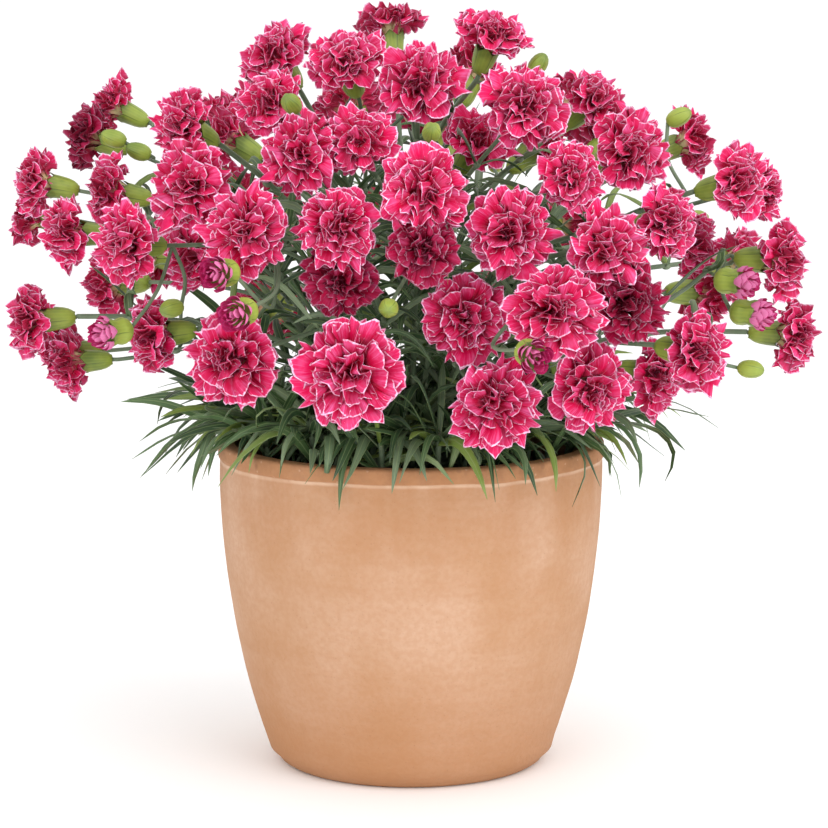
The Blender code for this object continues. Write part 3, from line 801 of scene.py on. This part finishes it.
# %% [markdown]
# ## How the stems run
#
# The CAD part grows its stems by a rule, so this script follows the same rule and gets the same
# stems. Heads are gathered in sprays of up to three. A stem rises from the crown to each spray's
# highest head, and branches leave it for the others. Every stem meets its calyx from behind, and
# bends clear of the other heads and of the rim.

# %% Stem rule
CROWN_RADIUS = 0.028
CROWN_TOP = 0.198
ROOT_DEPTH = 0.005
ROOT_SPREAD = 0.200
ROOT_INSET = 0.85
STEM_RADIUS = 0.0015
BRANCH_RADIUS = 0.0012
STEM_STEPS = 4
FORK_POINT = 2
BRANCH_STEPS = 3
LEAVE_SHARE, ARRIVE_SHARE = 0.4, 0.32
STEM_LEAN = 0.25
SPRAY_REACH = 0.085
SPRAY_SIZE = 3
STEM_CLEARANCE = 0.004
CLEARING_PASSES = 14


def push_from_pot(point, clearance):
    """The way out of the pot's rim, or up off the soil, for a point that is too close."""
    reach = math.hypot(point.x, point.y)
    if point.z > POT_HEIGHT + clearance or reach > RIM_RADIUS + clearance:
        return Vector()
    if reach > RIM_RADIUS - clearance:
        return Vector((point.x, point.y, 0)).normalized() * (RIM_RADIUS + clearance - reach)
    if reach > RIM_RADIUS - WALL - clearance:
        return UP * (POT_HEIGHT + clearance - point.z)
    return UP * max(0.0, SOIL_TOP + MOUND_RISE + clearance - point.z)


def cleared(points, fixed, bodies, clearance):
    """The route bent clear of the given bodies, the rim and the soil; the fixed points stay."""
    route = [point.copy() for point in points]
    for _ in range(CLEARING_PASSES):
        moved = False
        for i in range(len(route) - 1):
            for share in (0.0, 0.25, 0.5, 0.75, 1.0):
                sample = route[i].lerp(route[i + 1], share)
                push = push_from_pot(sample, clearance)
                for body in bodies:
                    away = sample - body.centre
                    lacking = body.radius + clearance - away.length
                    if lacking > 0:
                        push = push + away.normalized() * lacking
                if push.length > 0:
                    moved = True
                    if i not in fixed:
                        route[i] += push * (1 - share)
                    if i + 1 not in fixed:
                        route[i + 1] += push * share
        if not moved:
            break
    return route


def sprays(heads):
    """Heads gathered in small groups, neighbours first, each led by its highest head."""
    waiting = sorted(heads, key=lambda head: -head.centre.z)
    while waiting:
        leader = waiting.pop(0)
        near = sorted(waiting, key=lambda head: (head.centre - leader.centre).length)[: SPRAY_SIZE - 1]
        followers = [head for head in near if (head.centre - leader.centre).length < SPRAY_REACH]
        for head in followers:
            waiting.remove(head)
        yield leader, followers


def stem_route(start, leave, head, steps):
    """From the start, in the direction given, to the calyx foot, which it meets from behind."""
    end = head.calyx(1)
    span = (end - start).length
    guide = start + leave.normalized() * span * LEAVE_SHARE
    arrive = end - head.facing * span * ARRIVE_SHARE
    route = [bezier(start, guide, arrive, end, i / steps) for i in range(steps + 1)]
    return cleared(route, {0, steps}, [body for body in bodies if body is not head], STEM_CLEARANCE)


bodies = heads + buds
stems, branches = [], []
for leader, followers in sprays(heads):
    outward = Vector((leader.centre.x, leader.centre.y, 0))
    edge_share = ROOT_INSET * min(1.0, outward.length / ROOT_SPREAD)
    root = outward.normalized() * CROWN_RADIUS * edge_share + UP * (CROWN_TOP - ROOT_DEPTH)
    route = stem_route(root, UP + leader.facing * STEM_LEAN, leader, STEM_STEPS)
    stems.append((route, leader))
    fork, beyond = route[FORK_POINT : FORK_POINT + 2]
    for head in followers:
        leave = (beyond - fork).normalized() + (head.calyx(1) - fork).normalized()
        branches.append((stem_route(fork, leave, head, BRANCH_STEPS), head))
print("stems:", len(stems), "branches:", len(branches))

# %% [markdown]
# ## How the leaves hang
#
# A dianthus leaf is a narrow, channelled blade that leaves its joint rising and arches over
# under its own weight. Each new leaf here tries several ways and takes the one with most room
# round it, which is also how a living plant fills its space. The first leaves repeat the CAD
# part's; many more follow, because a real plant has several hundred.

# %% Leaf rule
LEAF_CLEARANCE = 0.0045
LEAF_SHORTENING = 0.12
SHOOT_COUNT = 17
SHOOT_INSET = 0.8
SHOOT_REACHES = (0.078, 0.100)
SHOOT_MIDDLE = 0.6
SHOOT_LIFT = 0.006
SHOOT_TIP_LIFTS = (0.012, 0.020)
# place along the shoot, swing from its way, length, rise, droop
SHOOT_LEAVES = [
    (0.90, 0.0, 0.085, 0.45, 0.95),
    (0.70, -0.5, 0.080, 0.55, 0.90),
    (0.50, 0.5, 0.085, 0.60, 0.85),
    (0.10, -0.9, 0.075, 1.05, 0.75),
    (0.02, 0.9, 0.075, 1.15, 0.75),
]
TRIES = 12
SAMPLE_STEP = 0.004
ROOT_ZONE = 0.012
NEAR = 0.120

rng = random.Random(11)
draw = rng.uniform
samples, leaf_lines, shoots = [], [], []


def level_way(turn):
    return Vector((math.cos(turn), math.sin(turn), 0))


def leaf_way(root, turn, length, rise, droop, steps=3):
    """Points of a leaf that leaves its stem rising and arches over under its own weight."""
    heading = level_way(turn)
    points = []
    for i in range(steps + 1):
        t = i / steps
        along = heading * t * (1 - LEAF_SHORTENING * t)
        points.append(root + (along + UP * (rise * t - droop * t * t)) * length)
    return points


def take_space(points):
    """Keeps samples of a route, so that later leaves stay off it."""
    for start, end in zip(points, points[1:]):
        count = max(1, round((end - start).length / SAMPLE_STEP))
        samples.extend(start.lerp(end, i / count) for i in range(count + 1))


def room_around(points, tree, near):
    """The least distance from the route, past its root, to what has grown and to any head."""
    least = 1.0
    for start, end in zip(points, points[1:]):
        for share in (0.25, 0.5, 0.75, 1.0):
            sample = start.lerp(end, share)
            if (sample - points[0]).length >= ROOT_ZONE:
                least = min(least, tree.find(sample)[2])
                for body in near:
                    least = min(least, (sample - body.centre).length - body.radius)
    return least


def grow_leaf(ways, width):
    """Grows a leaf along whichever of the ways has most room."""
    tree = KDTree(len(samples))
    for i, sample in enumerate(samples):
        tree.insert(sample, i)
    tree.balance()
    near = [body for body in bodies if (body.centre - ways[0][0]).length < NEAR + body.radius]
    best = max(ways, key=lambda way: room_around(way, tree, near))
    way = cleared(best, {0}, near, LEAF_CLEARANCE)
    take_space(way)
    leaf_lines.append((way, width))


def add_shoot(*points):
    shoots.append(list(points))
    take_space(points)


# %% The leaves that the CAD part has
take_space([UP * 0.150, UP * CROWN_TOP])
for route, _ in stems + branches:
    take_space(route)
for i in range(SHOOT_COUNT):
    turn = math.tau * (i + draw(-0.2, 0.2)) / SHOOT_COUNT
    out = level_way(turn)
    reach = SHOOT_REACHES[i % 2]
    root = out * CROWN_RADIUS * SHOOT_INSET + UP * (CROWN_TOP - ROOT_DEPTH)
    middle = out * reach * SHOOT_MIDDLE + UP * (CROWN_TOP + SHOOT_LIFT)
    tip = out * reach + UP * (POT_HEIGHT + draw(*SHOOT_TIP_LIFTS))
    add_shoot(root, middle, tip)
    for share, swing, length, rise, droop in SHOOT_LEAVES:
        ways = []
        for _ in range(TRIES):
            angle, loose, lift = turn + swing + draw(-0.35, 0.35), draw(0.85, 1.15), draw(0.8, 1.3)
            ways.append(leaf_way(middle.lerp(tip, share), angle, length * loose, rise * lift, droop))
        grow_leaf(ways, 0.0058)
for route, _ in stems:
    joint = route[1].lerp(route[2], 0.6)
    swing = draw(0, math.pi)
    for side in (0, math.pi):
        ways = [
            leaf_way(joint, swing + side + draw(-1.2, 1.2), draw(0.045, 0.065), draw(0.5, 1.2), draw(0.4, 0.8), 2)
            for _ in range(TRIES)
        ]
        grow_leaf(ways, 0.0049)
CAD_LEAF_COUNT = len(leaf_lines)
print("leaves that the CAD part has:", CAD_LEAF_COUNT)

# %% [markdown]
# ## More leaves, where a living plant has them
#
# Every stem and branch carries a pair of leaves at each joint, and each pair stands across the
# one below it. Low on the plant the joints sit close together, so the leaves form tufts, and
# leafy shoots spread over the rim. These leaves are as long as the photograph shows: 50 to 90 mm
# at the bottom, 30 to 50 mm near the flowers.

# %% Leaves at every joint
JOINT_SPACING = 0.034
FIRST_JOINT = 0.020
LAST_JOINT = 0.012
LEAF_TRIES = 4


def point_along(points, distance):
    """The point at a distance along the route, and the direction there."""
    for start, end in zip(points, points[1:]):
        length = (end - start).length
        if distance <= length:
            return start.lerp(end, distance / length), (end - start).normalized()
        distance -= length


def heading_out(ahead, turn):
    """A level turn that leaves the stem sideways, for a leaf at this angle round it."""
    side = ahead.orthogonal().normalized()
    way = side * math.cos(turn) + ahead.cross(side) * math.sin(turn)
    return math.atan2(way.y, way.x)


joints = []
for route, head in stems + branches:
    total = sum((end - start).length for start, end in zip(route, route[1:]))
    place, turn = FIRST_JOINT, draw(0, math.pi)
    while place < total - LAST_JOINT:
        spot, ahead = point_along(route, place)
        joints.append((spot, ahead))
        for side in (0, math.pi):
            length = draw(0.055, 0.085) * (1 - 0.45 * (place / total))
            out = heading_out(ahead, turn + side)
            ways = [
                leaf_way(spot, out + draw(-0.5, 0.5), length, draw(0.4, 1.3), draw(0.3, 1.0))
                for _ in range(LEAF_TRIES)
            ]
            grow_leaf(ways, draw(0.0044, 0.0064))
        turn += math.pi / 2
        place += JOINT_SPACING * draw(0.85, 1.3)
print("leaves with those at the joints:", len(leaf_lines))

# %% Tufts of the leafy shoots
TUFT_LEAVES = 7
INNER_SHOOTS = 32
INNER_REACHES = (0.045, 0.095, 0.070, 0.100)
SPREADING_TURNS = (150, 164, 175, 184, 193, 204, 226, 247, 268, 291, 315, -24, -9, 6, 28, 62, 90, 121)
SPREADING_LEAVES = 8
FRONT_SHORTENING = 0.58

for root, middle, tip in shoots:
    for _ in range(TUFT_LEAVES):
        start, out = middle.lerp(tip, draw(0.2, 1.0)), math.atan2(tip.y, tip.x)
        ways = []
        for _ in range(LEAF_TRIES):
            length, turn = draw(0.045, 0.080), out + draw(-1.6, 1.6)
            ways.append(leaf_way(start, turn, length, draw(0.3, 1.3), draw(0.3, 0.9)))
        grow_leaf(ways, draw(0.0052, 0.0074))
for degrees in SPREADING_TURNS:
    turn = math.radians(degrees)
    out = level_way(turn)
    in_front = out.y < -0.5
    root = out * CROWN_RADIUS * SHOOT_INSET + UP * (CROWN_TOP - ROOT_DEPTH)
    middle = out * 0.075 + UP * (POT_HEIGHT + 0.010)
    reach = draw(0.086, 0.108) if in_front else draw(0.112, 0.134)
    tip = out * reach + UP * (POT_HEIGHT + draw(0.009, 0.026))
    add_shoot(root, middle, tip)
    for _ in range(SPREADING_LEAVES):
        start = middle.lerp(tip, draw(0.2, 1.0))
        swing = turn + draw(-0.9, 0.9) * (1.8 if in_front else 1.0)
        ways = []
        for _ in range(LEAF_TRIES):
            length, loose, rise, droop = draw(0.055, 0.092), draw(-0.2, 0.2), draw(0.0, 0.7), draw(0.0, 0.7)
            if in_front:
                length, rise, droop = length * FRONT_SHORTENING, draw(0.0, 0.6), draw(0.2, 0.9)
            ways.append(leaf_way(start, swing + loose, length, rise, droop))
        grow_leaf(ways, draw(0.0050, 0.0072))
for i in range(INNER_SHOOTS):
    turn = math.tau * (i + draw(-0.4, 0.4)) / INNER_SHOOTS
    out = level_way(turn)
    reach = INNER_REACHES[i % 4] * draw(0.9, 1.05)
    foot = Vector((math.cos(turn) * reach, math.sin(turn) * reach, SOIL_TOP + 0.004))
    top = foot + Vector((math.cos(turn) * 0.010, math.sin(turn) * 0.010, draw(0.025, 0.050)))
    shoots.append([foot, foot.lerp(top, 0.5), top])
    for _ in range(TUFT_LEAVES):
        start = foot.lerp(top, draw(0.3, 1.0))
        ways = [
            leaf_way(start, draw(0, math.tau), draw(0.045, 0.080), draw(0.5, 1.6), draw(0.4, 0.9))
            for _ in range(LEAF_TRIES)
        ]
        grow_leaf(ways, draw(0.0050, 0.0070))
print("leaves in all:", len(leaf_lines))

# %% [markdown]
# ## One straight blade, bent many times
#
# Over a thousand leaves are alike in everything but their line, so one straight leaf is
# modelled, with only a few dozen faces, and each leaf is that one bent along its own line. A
# square frame slides along the smoothed line without spinning, which keeps the blade's channel
# upwards. Stems, calyces and buds are straight tubes bent in the same way.

# %% Straight shapes and bending


def straight_tube(name, sides, steps):
    """A mesh of a closed straight tube, one unit in radius, from z = 0 to z = 1."""
    bm = layered_bmesh("tone")
    bmesh.ops.create_cone(bm, cap_ends=True, segments=sides, radius1=1.0, radius2=1.0, depth=1.0)
    bmesh.ops.translate(bm, verts=bm.verts, vec=(0, 0, 0.5))
    long_edges = [edge for edge in bm.edges if abs(edge.verts[0].co.z - edge.verts[1].co.z) > 0.5]
    bmesh.ops.subdivide_edges(bm, edges=long_edges, cuts=steps - 1, use_grid_fill=True)
    uv_layer = bm.loops.layers.uv["UVMap"]
    for face in bm.faces:
        middle = face.calc_center_median()
        turn = math.atan2(middle.y, middle.x)
        for loop in face.loops:
            swing = math.atan2(loop.vert.co.y, loop.vert.co.x) - turn
            swing = (swing + math.pi) % math.tau - math.pi
            loop[uv_layer].uv = ((turn + swing) / math.tau + 0.5, loop.vert.co.z)
    return kept_mesh(name, bm)


def smooth_line(points, per_span):
    """Points of a smooth line that passes through all the given ones."""
    padded = [points[0] * 2 - points[1]] + list(points) + [points[-1] * 2 - points[-2]]
    line = []
    for a, b, c, d in zip(padded, padded[1:], padded[2:], padded[3:]):
        for k in range(per_span):
            t = k / per_span
            square, cube = a * 2 - b * 5 + c * 4 - d, b * 3 - a - c * 3 + d
            line.append((b * 2 + (c - a) * t + square * t * t + cube * t**3) / 2)
    return line + [points[-1].copy()]


def frames_along(line, side):
    """Across, up and point of a frame at each point of the line; it never spins about the line."""
    frames = []
    last = len(line) - 1
    for i, point in enumerate(line):
        ahead = (line[min(i + 1, last)] - line[max(i - 1, 0)]).normalized()
        side = (side - ahead * side.dot(ahead)).normalized()
        frames.append((side, ahead.cross(side), point))
    return frames


def add_bent(whole, straight, frames, shape, tone):
    """Adds the straight mesh, bent along the frames; shape(x, y, z) gives x, y and z anew."""
    places = []
    spans = len(frames) - 1
    for straight_place in STRAIGHT_PLACES[straight.name]:
        x, y, z = shape(*straight_place)
        where = max(0.0, min(0.99999, z)) * spans
        i = int(where)
        share = where - i
        low, high = frames[i], frames[i + 1]
        place = low[2].lerp(high[2], share)
        place += low[0].lerp(high[0], share) * x + low[1].lerp(high[1], share) * y
        places.extend(place)
    straight.vertices.foreach_set("co", places)
    straight.attributes["tone"].data.foreach_set("value", [tone] * len(straight.vertices))
    whole.from_mesh(straight)


LEAF_BLADE = straight_tube("leaf_blade", 8, 8)
STEM_TUBE = straight_tube("stem_tube", 8, 16)
JOINT_RING = straight_tube("joint_ring", 8, 4)
CALYX_CUP = straight_tube("calyx_cup", 20, 8)
SCALE_BLADE = straight_tube("scale_blade", 6, 4)
STRAIGHT_PLACES = {
    mesh.name: [tuple(vert.co) for vert in mesh.vertices]
    for mesh in (LEAF_BLADE, STEM_TUBE, JOINT_RING, CALYX_CUP, SCALE_BLADE)
}
print("leaf blade faces:", len(LEAF_BLADE.polygons), "stem tube faces:", len(STEM_TUBE.polygons))

# %% [markdown]
# ## Leaf finish
#
# Dianthus green is bluish and a little waxy. The blade is darker, the midrib and the margins are
# paler, and the newest leaves are a yellower green. Across a blade the UV map runs round it, so
# the margins are at a quarter turn from the middle of each face.

# %% Green materials
LEAF_DARK = (0.022, 0.052, 0.022, 1)
LEAF_MID = (0.070, 0.135, 0.045, 1)
LEAF_BLUE = (0.165, 0.225, 0.135, 1)
LEAF_YOUNG = (0.190, 0.270, 0.048, 1)
LEAF_PALE = (0.330, 0.420, 0.190, 1)
STEM_GREEN = (0.085, 0.130, 0.070, 1)
STEM_PALE = (0.220, 0.280, 0.180, 1)
CALYX_GREEN = (0.085, 0.150, 0.024, 1)
CALYX_PALE = (0.420, 0.510, 0.080, 1)
CALYX_DARK = (0.060, 0.100, 0.026, 1)

leaf_finish, shader, place = new_material("leaves", 0.42, 0.45)
uv, around, along, tone = marks_of(shader)
across = computed("ABSOLUTE", computed("COSINE", times(around, math.tau)))
margin = times(soft_step(across, 0.93, 0.995), 0.65)
midrib = times(soft_step(across, 0.16, 0.03), 0.42)
colour = laid_over(
    LEAF_DARK,
    (times(mottle(place, 60.0), 0.6), LEAF_MID),
    (soft_step(tone, 0.25, 0.60), LEAF_MID),
    (times(soft_step(tone, 0.55, 0.72), 0.8), LEAF_BLUE),
    (soft_step(tone, 0.82, 0.98), LEAF_YOUNG),
    (computed("MAXIMUM", margin, midrib), LEAF_PALE),
)
painted(shader, colour, computed("SINE", times(around, 90.0)), 0.10, 0.0004)

stem_finish, shader, place = new_material("stems", 0.50, 0.40)
uv, around, along, tone = marks_of(shader)
colour = laid_over(STEM_GREEN, (times(mottle(place, 50.0), 0.6), STEM_PALE), (times(tone, 0.7), STEM_PALE))
painted(shader, colour)

calyx_finish, shader, place = new_material("calyces", 0.42, 0.40)
uv, around, along, tone = marks_of(shader)
ribs = computed("SINE", times(around, math.tau * 20))
beside_tooth = computed("ABSOLUTE", computed("SINE", times(around, math.pi * 5)))
seams = times(soft_step(beside_tooth, 0.16, 0.02), soft_step(along, 0.30, 0.60))
colour = laid_over(
    CALYX_GREEN,
    # paler green towards the foot
    (times(soft_step(along, 0.80, 0.15), 0.45), CALYX_PALE),
    (times(mottle(place, 75.0, 2.0), 0.50), CALYX_PALE),
    (times(soft_step(ribs, -0.2, 0.9), 0.14), CALYX_PALE),
    (times(tone, 0.45), CALYX_PALE),
    # darker green towards the mouth and the teeth
    (times(soft_step(along, 0.70, 0.95), 0.35), CALYX_DARK),
    (times(seams, 0.7), CALYX_DARK),
)
painted(shader, colour, ribs, 0.10, 0.0003)
print("green materials made")

# %% Bend every leaf
LEAF_THICKNESS = 0.0006
CHANNEL = 0.34
CAD_LEAF_FULLNESS = 1.35
HANGING_SHARE = 0.88
LEAF_HOLD = 0.0015


def leaf_shape(width, channel, twist):
    """How a straight tube becomes a narrow channelled blade that twists along its length."""

    def shape(x, y, z):
        grown = 0.62 + 0.38 * eased(z, 0.0, 0.30)
        taper = max(0.02, 1 - z**3.2) ** 0.85
        half = width / 2 * grown * taper
        depth = LEAF_THICKNESS * (0.4 + 0.6 * taper)
        fold = channel * half * (abs(x) ** 1.4) * (1.3 - 0.6 * z)
        across, up = x * half, y * depth * 0.5 + fold
        c, s = math.cos(twist * z), math.sin(twist * z)
        return across * c - up * s, across * s + up * c, z

    return shape


def curled(line, axis, curl):
    """The line with its last part curled round the axis, and held off the pot."""
    points = [line[0]]
    last = len(line) - 1
    for i in range(last):
        turn = curl * eased(i / last, 0.30, 1.05)
        point = points[-1] + Matrix.Rotation(turn, 3, axis) @ (line[i + 1] - line[i])
        points.append(point + push_from_pot(point, LEAF_HOLD))
    return points


rng = random.Random(77)
bm = layered_bmesh("tone")
for n, (way, width) in enumerate(leaf_lines):
    level = (way[-1] - way[0]).cross(UP)
    level = level.normalized() if level.length > 0.001 else Vector((1, 0, 0))
    curl = rng.gauss(-0.15, 0.40) if rng.random() > 0.10 else rng.uniform(-2.8, -1.3)
    sideways = Matrix.Rotation(rng.uniform(-1.2, 1.2), 3, (way[-1] - way[0]).normalized())
    line = curled(smooth_line(way, 4), sideways @ level, curl)
    if n < CAD_LEAF_COUNT:
        line = line[: round(len(line) * HANGING_SHARE)]
        width *= CAD_LEAF_FULLNESS
    roll = Matrix.Rotation(rng.uniform(-1.0, 1.0), 3, (way[1] - way[0]).normalized())
    shape = leaf_shape(width, CHANNEL * rng.uniform(0.4, 1.4), rng.gauss(0.0, 0.9))
    add_bent(bm, LEAF_BLADE, frames_along(line, roll @ level), shape, rng.random())
leaves = new_object("leaf_blades", bm, leaf_finish)

# %% [markdown]
# ## Stems and joints
#
# A carnation stem is round, glaucous, and swollen at each joint where a pair of leaves clasps
# it. The stems follow the CAD's routes, smoothed, and the joints are short barrels on them.

# %% Stems
STEM_FULLNESS = 1.12
SHOOT_RADIUS = 0.0019
CALYX_FOOT = 0.62
JOINT_FULLNESS = 1.45
JOINT_HALF_LENGTH = 0.0028
STEM_SIDE = Vector((0.3, 0.9, 0.1))


def joint_shape(x, y, z):
    """How a straight tube becomes the short barrel of a joint."""
    thick = STEM_RADIUS * JOINT_FULLNESS
    swell = 1 - 0.45 * (2 * z - 1) ** 2
    return x * thick * swell, y * thick * swell, z


def add_stem(bm, route, radius, tone):
    frames = frames_along(smooth_line(route, 6), STEM_SIDE)
    add_bent(bm, STEM_TUBE, frames, lambda x, y, z: (x * radius, y * radius, z), tone)


bm = layered_bmesh("tone")
tubes = [(route + [head.calyx(CALYX_FOOT)], STEM_RADIUS * STEM_FULLNESS) for route, head in stems]
tubes += [(route + [head.calyx(CALYX_FOOT)], BRANCH_RADIUS * STEM_FULLNESS) for route, head in branches]
tubes += [(shoot, SHOOT_RADIUS) for shoot in shoots]
for route, radius in tubes:
    add_stem(bm, route, radius, rng.random() * 0.4)
for spot, ahead in joints:
    half = ahead * JOINT_HALF_LENGTH
    frames = frames_along([spot - half, spot, spot + half], ahead.orthogonal())
    add_bent(bm, JOINT_RING, frames, joint_shape, 0.9)
stem_piece = new_object("jointed_stems", bm, stem_finish)
print("stems and joints:", len(tubes), len(joints))

# %% [markdown]
# ## Calyces and their scales
#
# The calyx is a finely ribbed cup that holds the petals' claws, narrow at its foot and about as
# wide as a thumb at its mouth. It ends in five pointed teeth, and two pairs of small scales sit
# at its foot. Each is a straight tube given a bell's profile; its last ring turns inwards, so
# that the cup looks hollow under the petals.

# %% Calyces
CALYX_MOUTH_SHARE = 0.31
CALYX_REACH = 1.5
TOOTH_HEIGHT = 0.26
TUBE_RINGS = 8
# for each ring from the foot, its share of the whole length and of the radius
CALYX_SHARES = (0.0, 0.03, 0.11, 0.26, 0.48, 0.74, 0.96, 1.03, 0.72)
CALYX_REACHES = (0.20, 0.42, 0.62, 0.80, 0.93, 1.0, 1.07, 1.15, 0.72)


def calyx_shape(length, radius):
    """How a straight tube becomes a calyx whose mouth has five teeth."""

    def shape(x, y, z):
        ring = round(z * TUBE_RINGS)
        tooth = abs(((math.atan2(y, x) / math.tau * 5) % 1.0) * 2 - 1) if ring >= 6 else 0.0
        share = (CALYX_SHARES[ring] + TOOTH_HEIGHT * tooth) * length / (CALYX_LENGTH * CALYX_REACH)
        return x * CALYX_REACHES[ring] * radius, y * CALYX_REACHES[ring] * radius, share

    return shape


def scale_shape(x, y, z):
    """How a straight tube becomes a small pointed scale."""
    half = 0.0032 * max(0.05, 1 - z**2.0)
    return x * half, y * 0.0004 + 0.5 * half * x * x, z


def add_scales(bm, foot, facing, radius, tone):
    """Two pairs of small scales that clasp the foot of a calyx."""
    side = facing.orthogonal().normalized()
    for k in range(4):
        out = Matrix.Rotation(math.pi / 2 * k + tone * 3, 3, facing) @ side
        low = foot + out * radius * 0.42
        line = [low, low + facing * 0.0035 + out * radius * 0.22, low + facing * 0.0080 + out * radius * 0.40]
        add_bent(bm, SCALE_BLADE, frames_along(line, facing.cross(out)), scale_shape, tone * 0.5)


def add_cup(bm, foot, end, facing, shape, tone):
    frames = frames_along([foot, foot.lerp(end, 0.5), end], facing.orthogonal())
    add_bent(bm, CALYX_CUP, frames, shape, tone)


bm = layered_bmesh("tone")
for head in heads:
    tone = rng.random() * 0.6
    foot = head.calyx(CALYX_FOOT)
    length = CALYX_LENGTH * CALYX_FOOT + (NECK_HEIGHT - MOUTH_DEPTH) * head.radius
    radius = CALYX_MOUTH_SHARE * head.radius
    end = foot + head.facing * CALYX_LENGTH * CALYX_REACH
    add_cup(bm, foot, end, head.facing, calyx_shape(length, radius), tone)
    add_scales(bm, foot, head.facing, radius, tone)
calyces = new_object("ribbed_calyces", bm, calyx_finish)
print("calyces:", len(heads))

# %% [markdown]
# ## Buds
#
# A closed bud is an egg-shaped calyx with its teeth pressed together, on a short stalk from the
# nearest calyx foot. A half-open one shows rolled pink petals above the teeth.

# %% Buds
BUD_SHARES = (0.0, 0.06, 0.18, 0.34, 0.52, 0.70, 0.86, 0.96, 1.0)
BUD_REACHES = (0.30, 0.62, 0.84, 0.97, 1.0, 0.90, 0.66, 0.36, 0.06)
BUD_RADIUS = 0.0058


def bud_shape(radius, open_share):
    """How a straight tube becomes an egg-shaped bud with five seams."""

    def shape(x, y, z):
        ring = round(z * TUBE_RINGS)
        share = BUD_SHARES[ring]
        beside_seam = abs(math.sin(2.5 * math.atan2(y, x)))
        crease = 1 - 0.16 * (1 - beside_seam) * eased(share, 0.2, 0.8)
        reach = max(BUD_REACHES[ring], open_share * eased(share, 0.4, 0.8)) * crease
        if open_share and ring >= 5:
            share += 0.14 * beside_seam * (ring - 4) / 4
        return x * reach * radius, y * reach * radius, share * (0.86 if open_share else 1.0)

    return shape


green_bm, stalk_bm = layered_bmesh("tone"), layered_bmesh("tone")
half_open = [bud for bud in buds if bud.radius * 2 > BUD_LENGTH * 1.1]
for bud in buds:
    is_open = bud in half_open
    length = bud.radius * 2
    radius = BUD_RADIUS * length / BUD_LENGTH
    foot = bud.centre - bud.facing * length * 0.45
    holder = min(heads, key=lambda head: (head.calyx(1) - bud.centre).length).calyx(0.95)
    bend = foot.lerp(holder, 0.45) - bud.facing * 0.006
    add_stem(stalk_bm, cleared([holder, bend, foot], {0, 2}, heads, STEM_CLEARANCE), BRANCH_RADIUS, 0.4)
    tip = foot + bud.facing * length * (0.72 if is_open else 0.98)
    shape = bud_shape(radius, 1.02 if is_open else 0.0)
    add_cup(green_bm, foot, tip, bud.facing, shape, rng.uniform(0.3, 1.0))
    add_scales(green_bm, foot, bud.facing, radius * 0.9, 0.2)
bud_piece = new_object("green_buds", green_bm, calyx_finish)
stalk_piece = new_object("bud_stalks", stalk_bm, stem_finish)

# %% Rolled petals of the half-open buds
# petals in the whorl, place of the tips and their lean, half the angle of the fan, ruffle, cup
ROLLED_WHORLS = [
    (5, 66, -6, 50, 0.012, 1.6),
    (5, 52, -20, 48, 0.014, 1.6),
    (5, 36, -25, 42, 0.020, 1.5),
    (4, 20, -20, 36, 0.030, 1.3),
    (3, 8, -10, 30, 0.040, 1.2),
]
ROLLED_SIZE = Matrix.Diagonal((0.0120, 0.0120, 0.0240, 1.0))
ROLLED_LOOSENESS = 0.22


def rolled_numbers(rng, i, tip, lean, fan, ruffle, cup):
    """A petal that stands upright, rolled about the others."""
    angles = {"tip_angle": math.radians(tip), "lean": math.radians(lean), "fan": math.radians(fan)}
    tone = rng.random() * 0.5
    return {"place": i, "tone": tone, "ruffle": ruffle, "cup": cup, "loose": ROLLED_LOOSENESS, **angles}


bm = bmesh.new()
for i, bud in enumerate(half_open):
    petals = petal_mesh(f"rolled_petals_{40 + i}", 40 + i, ROLLED_WHORLS, rolled_numbers)
    add_placed(bm, petals, bud.centre + bud.facing * bud.radius * 0.42, bud.facing, ROLLED_SIZE)
rolled = new_object("rolled_bud_petals", bm, young_finish)
for piece in (leaves, stem_piece, calyces, bud_piece, stalk_piece, rolled):
    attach(piece, "root")
    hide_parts("plant")
print("buds:", len(buds), "half open:", len(half_open))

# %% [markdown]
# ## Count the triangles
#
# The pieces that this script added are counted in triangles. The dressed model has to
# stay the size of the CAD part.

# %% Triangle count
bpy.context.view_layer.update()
triangles = 0
for piece in bpy.data.objects:
    if piece.type == "MESH" and piece.name not in frame["nodes"]:
        triangles += sum(len(face.vertices) - 2 for face in piece.data.polygons)
print("triangles added:", triangles)
